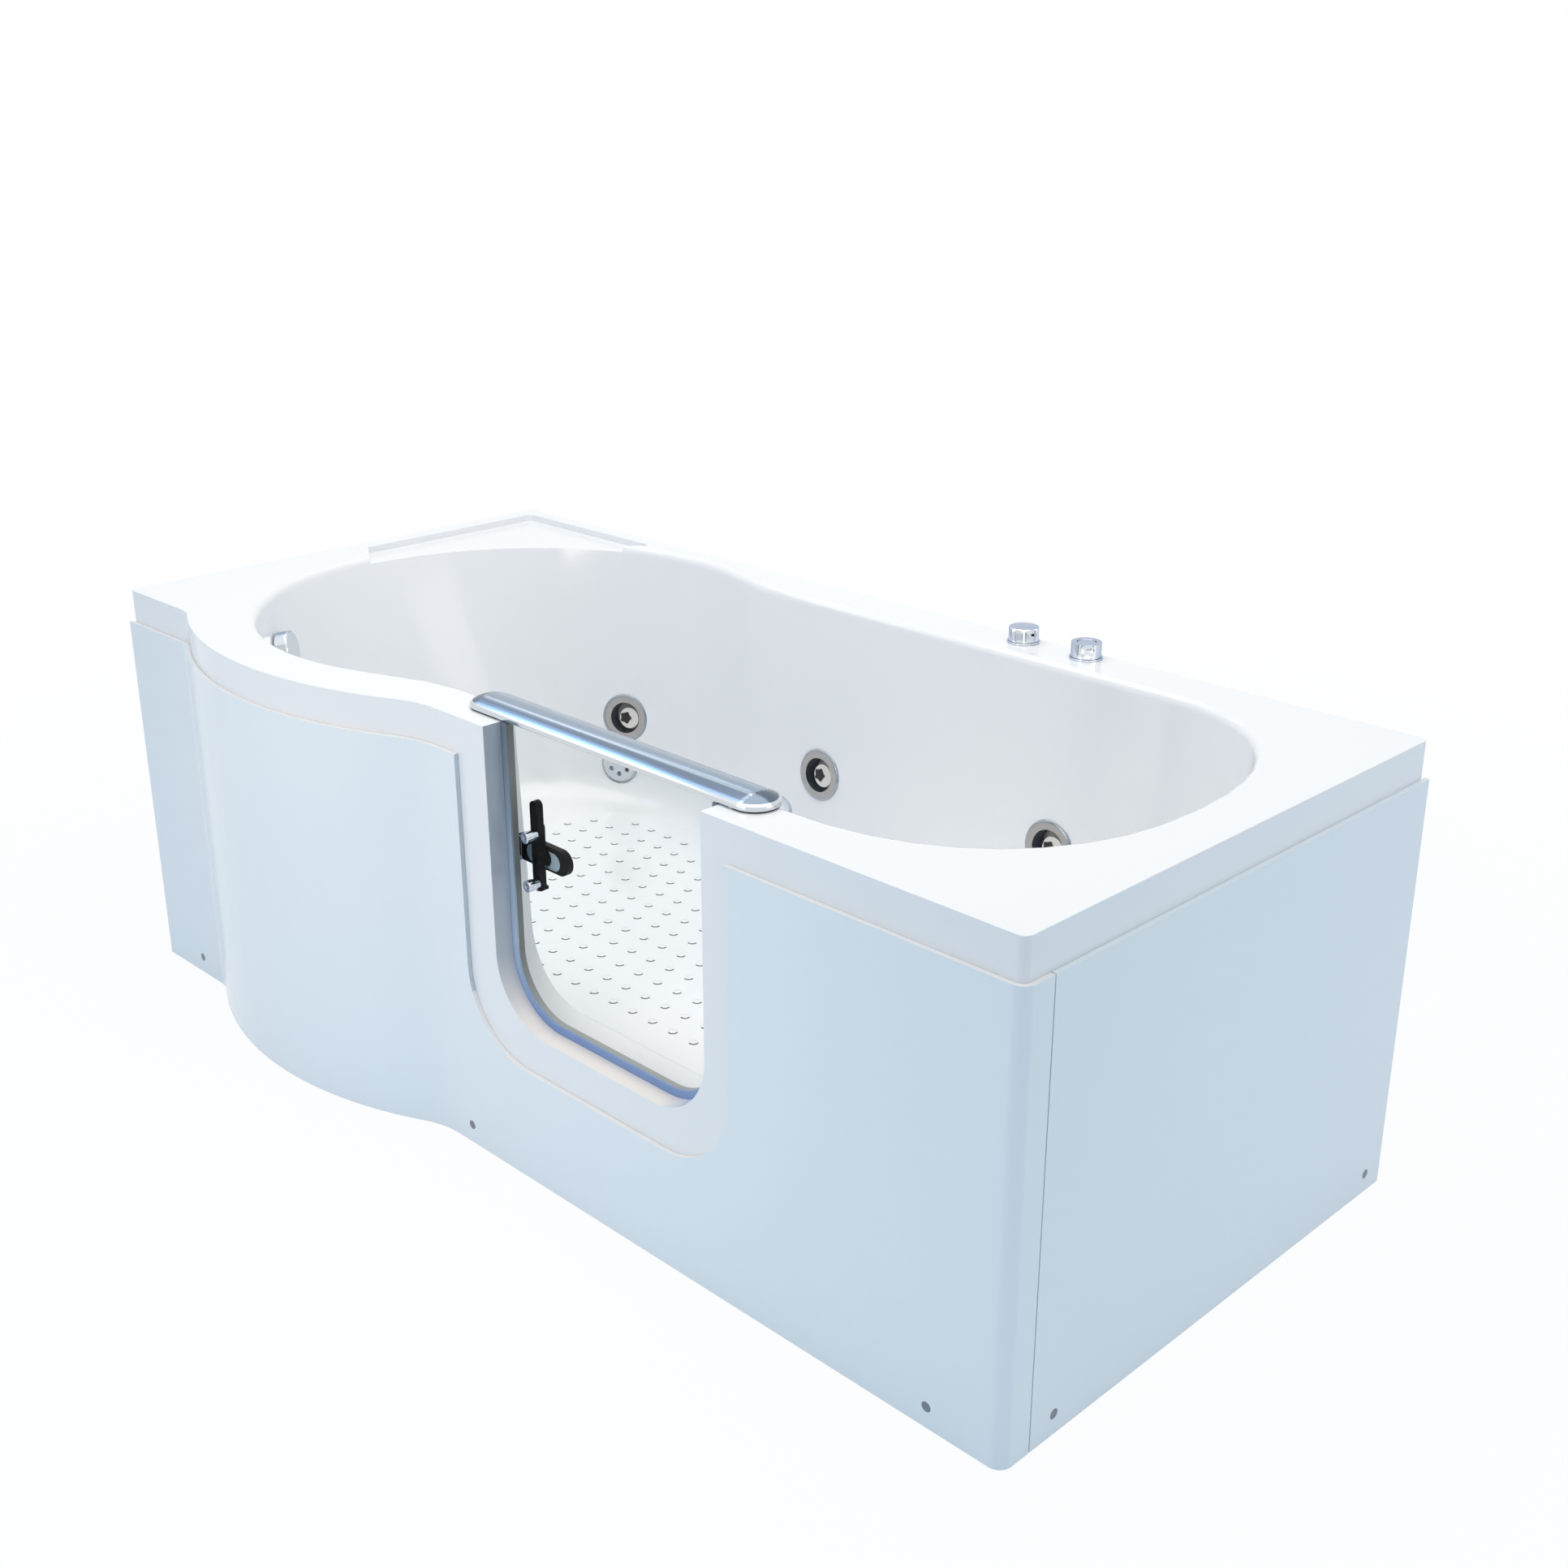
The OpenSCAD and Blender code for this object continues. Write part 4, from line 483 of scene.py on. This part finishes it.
# %% [markdown]
# ## One piece in several finishes
# A jet's ring is a single turned part, with a satin front and a polished rim; the rim's blue grey is a
# painted reflection, and its recess is dark with painted shade. Such a piece keeps one mesh, and each
# face gets the finish of the place where it lies.

# %% Finishes by face
def paint(piece, chooser):
    """Gives each face the finish that the chooser names for its corners and its normal."""
    data = piece.data
    for face in data.polygons:
        slot = chooser([data.vertices[i].co for i in face.vertices], face.normal)
        if slot:
            name = finishes[slot].name
            if data.materials.find(name) < 0:
                data.materials.append(finishes[slot])
            face.material_index = data.materials.find(name)


def joint_place(name):
    joint = next(j for j in frame["record"]["behaviour"]["joints"] if j["name"] == name)
    return Vector(joint["pos_m"]), Vector(joint["axis"]).normalized()


# %% Jets
# Radii and heights of a jet's parts, in millimetres from its axis and over the wall
WELL_RADIUS, WELL_TOP, RIM_RADIUS = 26.4, 2.9, 35.2
BORE_RADIUS, TUBE_RADIUS, OPENING_RADIUS, BODY_RADIUS = 7.4, 9.0, 14.5, 31.6


def dress_jet(side):
    place, axis = joint_place(f"nozzle_{side}_turn")

    def reach(points):
        """Heights over the wall and distances from the jet's axis, in millimetres."""
        away = [(p - place) * 1000 for p in points]
        heights = [a.dot(axis) for a in away]
        return heights, [(a - axis * h).length for a, h in zip(away, heights)]

    # The recess gets painted shade, and the rim outside it a painted reflection.
    def ring(points, normal):
        heights, radii = reach(points)
        if max(radii) < WELL_RADIUS and max(heights) < WELL_TOP:
            return "jet_well_painted_shade"
        return "jet_rim_painted_reflection" if min(radii) > RIM_RADIUS else None

    # The bore and the opening's sides get painted shade, and the rest of the face painted light.
    def nozzle(points, normal):
        heights, radii = reach(points)
        if max(radii) < BORE_RADIUS:
            return "bore_painted_shade"
        if max(radii) < TUBE_RADIUS:
            return "jet_tube"
        if max(radii) < OPENING_RADIUS and abs(normal.dot(axis)) < 0.7:
            return "bore_painted_shade"
        return "jet_disc_painted_light"

    # The body's inside, seen through the ring, gets painted shade.
    def body(points, normal):
        return "bore_painted_shade" if max(reach(points)[1]) < BODY_RADIUS else None

    paint(copies[f"jet_flange_{side}"], ring)
    paint(copies[f"jet_nozzle_{side}"], nozzle)
    paint(copies[f"jet_body_{side}"], body)


# The nozzle's face and the plate on it, in metres
EYE_HEIGHT, EYE_SHIFT, EYE_RADIUS = -0.0016, 0.0062, 0.0178
EYE_DEPTH, EYE_BEVEL = 0.0024, 0.0006
LOBES, LOBE_STEPS, LOBE_RADIUS, LOBE_SWING = 5, 50, 0.0088, 0.0016
LOBE_HEIGHTS = (-0.0006, 0.0005)


def make_jet_eye(side):
    """The nozzle's pale face, in painted light: a disc set off to one side, so that the well shows
    beside it.
    """
    place, axis = joint_place(f"nozzle_{side}_turn")
    rightward = Vector((0, 0, 1)).cross(axis).normalized()
    middle = place + axis * EYE_HEIGHT + rightward * EYE_SHIFT
    mesh = bmesh.new()
    turn = axis.to_track_quat("Z", "Y").to_matrix().to_4x4()
    bmesh.ops.create_cone(mesh, cap_ends=True, segments=56, radius1=EYE_RADIUS,
                          radius2=EYE_RADIUS - EYE_BEVEL, depth=EYE_DEPTH,
                          matrix=Matrix.Translation(middle) @ turn)
    eye = add_piece(f"jet_eye_{side}", mesh, "jet_face", f"nozzle_{side}")
    paint(eye, lambda points, normal: "jet_disc_painted_light")


def make_jet_lobes(side):
    """A lobed plate in painted shade that stands for the opening in the nozzle's face. It covers the
    bore.
    """
    place, axis = joint_place(f"nozzle_{side}_turn")
    turn = axis.to_track_quat("Z", "Y").to_matrix().to_4x4()
    mesh = bmesh.new()
    corners = []
    for step in range(LOBE_STEPS):
        angle = math.tau * step / LOBE_STEPS
        reach = LOBE_RADIUS + LOBE_SWING * math.cos(LOBES * angle)
        corner = (reach * math.cos(angle), reach * math.sin(angle), LOBE_HEIGHTS[0])
        corners.append(mesh.verts.new(corner))
    plate = mesh.faces.new(corners)
    drawn_up = bmesh.ops.extrude_face_region(mesh, geom=[plate])["geom"]
    raised = [v for v in drawn_up if isinstance(v, bmesh.types.BMVert)]
    bmesh.ops.translate(mesh, verts=raised, vec=(0, 0, LOBE_HEIGHTS[1] - LOBE_HEIGHTS[0]))
    bmesh.ops.transform(mesh, matrix=Matrix.Translation(place) @ turn, verts=mesh.verts[:])
    lobes = add_piece(f"jet_lobes_{side}", mesh, "jet_face", f"nozzle_{side}")
    paint(lobes, lambda points, normal: "bore_painted_shade")


for side in ("left", "middle", "right"):
    dress_jet(side)
    make_jet_eye(side)
    make_jet_lobes(side)
print("jets dressed:", [tuple(round(c, 3) for c in joint_place(f"nozzle_{s}_turn")[0])
                        for s in ("left", "middle", "right")])

# %% Rail, suction cover, panel edges, overflow knob and latch bar
RAIL_STEEP, RAIL_TURNED = 0.85, 0.12


def rail_bands(points, normal):
    """Painted reflections on the rail: a silver side, with the crown's steep foot, and darker rounded
    ends.
    """
    if abs(normal.z) < RAIL_STEEP:
        return "rail_side"
    return "rail_end_painted_reflection" if abs(normal.x) > RAIL_TURNED else None


paint(copies["top_rail"], rail_bands)
# The suction cover and the body behind its holes get pale painted light, so that the holes don't show
# dark.
for name in ("suction_cover", "suction_body"):
    paint(copies[name], lambda points, normal: "pale_painted_light")


def panel_edge(points, normal):
    """The cut edges of the front panel: white painted light where they face up, painted shade at the
    doorway's sides.
    """
    if normal.z > 0.3:
        return "edge_painted_light"
    beside_doorway = all(-60 < drawn(p).x < 480 for p in points)
    return "edge_painted_shade" if beside_doorway and abs(normal.x) > 0.9 else None


paint(copies["front_panel"], panel_edge)
KNOB_AXIS = joint_place("waste_knob_turn")[1]
# The chrome knob's flat face is painted pale: a painted reflection.
paint(copies["overflow_knob"],
      lambda points, normal: "pale_painted_light" if normal.dot(KNOB_AXIS) > 0.98 else None)


HOUSING_FOOT, HOUSING_TOP = 405, 431


def latch_edge(points, normal):
    """A painted highlight on the bar's right front edge, above and below the pivot's housing."""
    beside_housing = HOUSING_FOOT < drawn(points[0]).z < HOUSING_TOP
    return "bar_edge_painted_highlight" if normal.x > 0.35 and normal.y < -0.35 and not beside_housing else None


paint(copies["latch_body"], latch_edge)

# %% [markdown]
# ## Air regulator
# The knob at the left has a finely ribbed side for wet fingers, a flat top and a small black
# index. The ribs are a circle whose every second corner stands back a little, drawn upward.

# %% Ribbed knob
KNOB_RADIUS, KNOB_FOOT, KNOB_TOP = 0.0205, 0.6028, 0.622
KNOB_RIBS = 72


def make_ribbed_knob():
    mesh = bmesh.new()
    middle = spot(266, 735, 0)
    bmesh.ops.create_circle(mesh, cap_ends=False, segments=2 * KNOB_RIBS, radius=KNOB_RADIUS)
    for corner in list(mesh.verts)[::2]:
        corner.co *= 0.982
    bmesh.ops.translate(mesh, vec=middle + Vector((0, 0, KNOB_FOOT)), verts=mesh.verts[:])
    edges = mesh.edges[:]
    foot = edges[:]
    for rise, inset in ((KNOB_TOP - KNOB_FOOT - 0.0016, 0.0), (0.0008, 0.0003), (0.0005, 0.0007),
                        (0.0003, 0.0012)):
        made = bmesh.ops.extrude_edge_only(mesh, edges=edges)["geom"]
        edges = [g for g in made if isinstance(g, bmesh.types.BMEdge)]
        for corner in [g for g in made if isinstance(g, bmesh.types.BMVert)]:
            away = (corner.co - middle).xy
            away *= -inset / away.length
            corner.co += Vector((away.x, away.y, rise))
    bmesh.ops.edgenet_fill(mesh, edges=edges)
    bmesh.ops.edgenet_fill(mesh, edges=foot)
    bmesh.ops.create_cone(mesh, cap_ends=True, segments=32, radius1=0.005, radius2=0.005, depth=0.0128,
                          matrix=Matrix.Translation(middle + Vector((0, 0, KNOB_FOOT - 0.0064))))
    return add_piece("air_knob_ribbed", mesh, "chrome", "air_regulator", ["air_knob"], sharp=30.0,
                     weighted=False)


def make_knob_index():
    mesh = bmesh.new()
    turn = Matrix.Translation(spot(266, 735, 0) + Vector((0, 0, KNOB_TOP - 0.0078)))
    turn = turn @ Matrix.Rotation(math.radians(-15), 4, "Z") @ Matrix.Translation((KNOB_RADIUS, 0, 0))
    bmesh.ops.create_cube(mesh, size=1.0, matrix=turn @ Matrix.Diagonal((0.0011, 0.0036, 0.0034, 1)))
    round_off(mesh, mesh.edges[:], 0.2, 1)
    return add_piece("air_knob_index", mesh, "latch_black", "air_regulator")


print("knob faces:", len(make_ribbed_knob().data.polygons), len(make_knob_index().data.polygons))

# %% [markdown]
# ## Tub
# The moulded shell has soft edges everywhere: the rim's outer edge, the doorway's stepped reveal
# and the corner shelf. They are rounded in two passes, wide ones first.

# %% Round the tub's edges
def make_tub():
    mesh = merged("tub_shell", flat=0.1)

    def wide(p, edge):
        on_rim = p.z > 599.4 and min((Vector((x, 735)) - p.xy).length for x in (266, 371)) > 18
        on_reveal = abs(p.y) < 0.4 and 20 < p.x < 420 and p.z > 200
        return on_rim or on_reveal

    round_off(mesh, hard_edges(mesh, 50, wide), 6.0, 4)

    def narrow(p, edge):
        on_skirt = 520 < p.z < 535
        on_shelf = 588 < p.z < 592 and p.x < -480
        return on_skirt or on_shelf

    round_off(mesh, hard_edges(mesh, 50, narrow), 1.6, 2)
    return add_piece("tub_fine", mesh, "shell_white", "bath", ["tub_shell"])


def in_reveal(points, normal):
    """The doorway's outer reveal, at its bottom and left, where the photograph shows its shade."""
    places = [drawn(p) for p in points]
    inside = all(-0.5 < p.y < 30 and 20 < p.x < 420 and 200 < p.z < 600.1 for p in places)
    return "reveal" if inside and abs(normal.y) < 0.75 and normal.x > -0.3 else None


tub = make_tub()
paint(tub, in_reveal)
print("tub faces:", len(tub.data.polygons))

# %% [markdown]
# ## Anti-slip floor
# Staggered rows of low round studs are moulded into the floor, and each stud's side towards the
# doorway is painted grey: painted shade. A stud is a flat cone of a few faces, since there are
# hundreds, and it is set only where the floor under it and around it is flat.

# %% Floor studs
STUD_PITCH, STUD_ROW = 39.4, 39.1
STUD_FIRST = (-13.0, 134.0)
STUD_RADIUS, STUD_TOP, STUD_RISE = 7.4, 5.3, 0.9
FLOOR_HEIGHT = 175.0
DRAIN = Vector((-450.0, 205.0))
DRAIN_MARGIN, FLAT_MARGIN = 62, 22


def make_floor_studs():
    solid = bmesh.new()
    solid.from_mesh(nodes["tub_shell"].data)
    tree = BVHTree.FromBMesh(solid)
    solid.free()

    def is_flat(x, y):
        hit = tree.ray_cast(spot(x, y, 400), Vector((0, 0, -1)))[0]
        return hit is not None and abs(drawn(hit).z - FLOOR_HEIGHT) < 0.3

    mesh = bmesh.new()
    count = 0
    for row in range(13):
        y = STUD_FIRST[1] + row * STUD_ROW
        for column in range(-14, 16):
            x = STUD_FIRST[0] + (column + 0.5 * (row % 2)) * STUD_PITCH
            around = [(0, 0)] + [(FLAT_MARGIN * math.cos(a), FLAT_MARGIN * math.sin(a))
                                 for a in range(0, 7)]
            near_drain = (Vector((x, y)) - DRAIN).length < DRAIN_MARGIN
            if near_drain or not all(is_flat(x + u, y + v) for u, v in around):
                continue
            place = Matrix.Translation(spot(x, y, FLOOR_HEIGHT + STUD_RISE / 2 - 0.1))
            bmesh.ops.create_cone(mesh, cap_ends=True, segments=16, radius1=STUD_RADIUS / 1000,
                                  radius2=STUD_TOP / 1000, depth=STUD_RISE / 1000, matrix=place)
            count += 1
    piece = add_piece("floor_studs", mesh, "shell_white", "bath", sharp=50.0, weighted=False)
    # The studs' sides towards the doorway get painted shade.
    doorway_side = Vector((0.7071, -0.7071, 0))
    paint(piece, lambda points, normal: "stud_shade" if normal.dot(doorway_side) > 0.14 and
          0.05 < normal.z < 0.99 else None)
    return count


print("floor studs:", make_floor_studs())

# %% [markdown]
# ## Studio
# A white cyclorama would only need a floor here, because the camera looks down at it. The floor
# shows white to the camera through Light Path and keeps a soft shadow of the bath. Large soft
# lamps above and beside the bath shape the white acrylic, and the world fills the shadows.

# %% The rays that show a backdrop
def seen_rays(nt):
    """1 for rays that show the backdrop: straight from the camera, off metal or through glass."""
    path = nt.nodes.new("ShaderNodeLightPath")
    total = path.outputs["Is Camera Ray"]
    for kind in ("Is Glossy Ray", "Is Transmission Ray"):
        either = nt.nodes.new("ShaderNodeMath")
        either.operation = "MAXIMUM"
        nt.links.new(total, either.inputs[0])
        nt.links.new(path.outputs[kind], either.inputs[1])
        total = either.outputs[0]
    return total


# %% Floor
FLOOR_FADE = (1.4, 2.6, 0.95, 1.0)   # metres from the middle, and the share that shows plain white


def make_floor():
    mesh = bmesh.new()
    bmesh.ops.create_grid(mesh, x_segments=1, y_segments=1, size=50.0)
    data = bpy.data.meshes.new("studio_floor")
    mesh.to_mesh(data)
    mesh.free()
    floor = bpy.data.objects.new("studio_floor", data)
    bpy.context.scene.collection.objects.link(floor)
    material = bpy.data.materials.new("studio_white")
    material.use_nodes = True
    nt = material.node_tree
    nt.nodes.clear()
    paint = nt.nodes.new("ShaderNodeBsdfDiffuse")
    paint.inputs["Color"].default_value = (0.70, 0.83, 0.94, 1.0)
    glow = nt.nodes.new("ShaderNodeEmission")
    glow.inputs["Color"].default_value = (1.0, 1.0, 1.0, 1.0)
    glow.inputs["Strength"].default_value = 1.0
    place = nt.nodes.new("ShaderNodeTexCoord")
    away = nt.nodes.new("ShaderNodeVectorMath")
    away.operation = "LENGTH"
    fade = nt.nodes.new("ShaderNodeMapRange")
    for socket, value in zip(("From Min", "From Max", "To Min", "To Max"), FLOOR_FADE):
        fade.inputs[socket].default_value = value
    share = nt.nodes.new("ShaderNodeMath")
    share.operation = "MULTIPLY"
    mix = nt.nodes.new("ShaderNodeMixShader")
    out = nt.nodes.new("ShaderNodeOutputMaterial")
    link = nt.links.new
    link(place.outputs["Object"], away.inputs[0])
    link(away.outputs["Value"], fade.inputs["Value"])
    link(seen_rays(nt), share.inputs[0])
    link(fade.outputs["Result"], share.inputs[1])
    link(share.outputs[0], mix.inputs["Fac"])
    link(paint.outputs[0], mix.inputs[1])
    link(glow.outputs[0], mix.inputs[2])
    link(mix.outputs[0], out.inputs["Surface"])
    data.materials.append(material)
    return floor


make_floor()

# %% World
def make_world():
    world = bpy.data.worlds.new("studio_world")
    bpy.context.scene.world = world
    world.use_nodes = True
    nt = world.node_tree
    nt.nodes.clear()
    fill = nt.nodes.new("ShaderNodeBackground")
    fill.inputs["Color"].default_value = (0.75, 0.88, 1.0, 1.0)
    fill.inputs["Strength"].default_value = 0.52
    white = nt.nodes.new("ShaderNodeBackground")
    white.inputs["Color"].default_value = (1.0, 1.0, 1.0, 1.0)
    white.inputs["Strength"].default_value = 1.0
    mix = nt.nodes.new("ShaderNodeMixShader")
    out = nt.nodes.new("ShaderNodeOutputWorld")
    nt.links.new(seen_rays(nt), mix.inputs["Fac"])
    nt.links.new(fill.outputs[0], mix.inputs[1])
    nt.links.new(white.outputs[0], mix.inputs[2])
    nt.links.new(mix.outputs[0], out.inputs["Surface"])


make_world()

# %% Lamps
def soft_lamp(name, place, target, width, height, power, color=(1.0, 1.0, 1.0)):
    data = bpy.data.lights.new(name, "AREA")
    data.shape = "RECTANGLE"
    data.size, data.size_y = width, height
    data.energy = power
    data.color = color
    lamp = bpy.data.objects.new(name, data)
    bpy.context.scene.collection.objects.link(lamp)
    lamp.location = place
    lamp.rotation_mode = "QUATERNION"
    lamp.rotation_quaternion = (Vector(target) - Vector(place)).to_track_quat("-Z", "Y")
    return lamp


soft_lamp("lamp_above", (0.0, 0.1, 3.2), (0.0, 0.0, 0.3), 3.6, 2.6, 63.0, (1.0, 0.92, 0.84))
soft_lamp("lamp_front", (0.15, -2.2, 1.0), (0.0, -0.35, 0.3), 0.9, 0.9, 5.0, (0.95, 0.97, 1.0))
soft_lamp("lamp_near", (-0.1, -1.15, 0.7), (-0.1, -0.35, 0.35), 0.35, 0.35, 1.3, (1.0, 0.74, 0.54))
soft_lamp("lamp_right", (3.2, 0.6, 1.0), (0.85, 0.0, 0.3), 1.6, 1.2, 8.0, (1.0, 0.96, 0.93))
RAIL_MIDDLE = (0.2, -0.28, 0.62)
soft_lamp("lamp_streak", (-1.98, 1.02, 2.22), RAIL_MIDDLE, 1.1, 0.2, 1.0)
soft_lamp("lamp_band", (-1.98, -0.56, 2.62), RAIL_MIDDLE, 1.5, 0.5, 4.2, (0.62, 0.78, 1.0))
scene = bpy.context.scene
scene.view_settings.view_transform = "Standard"
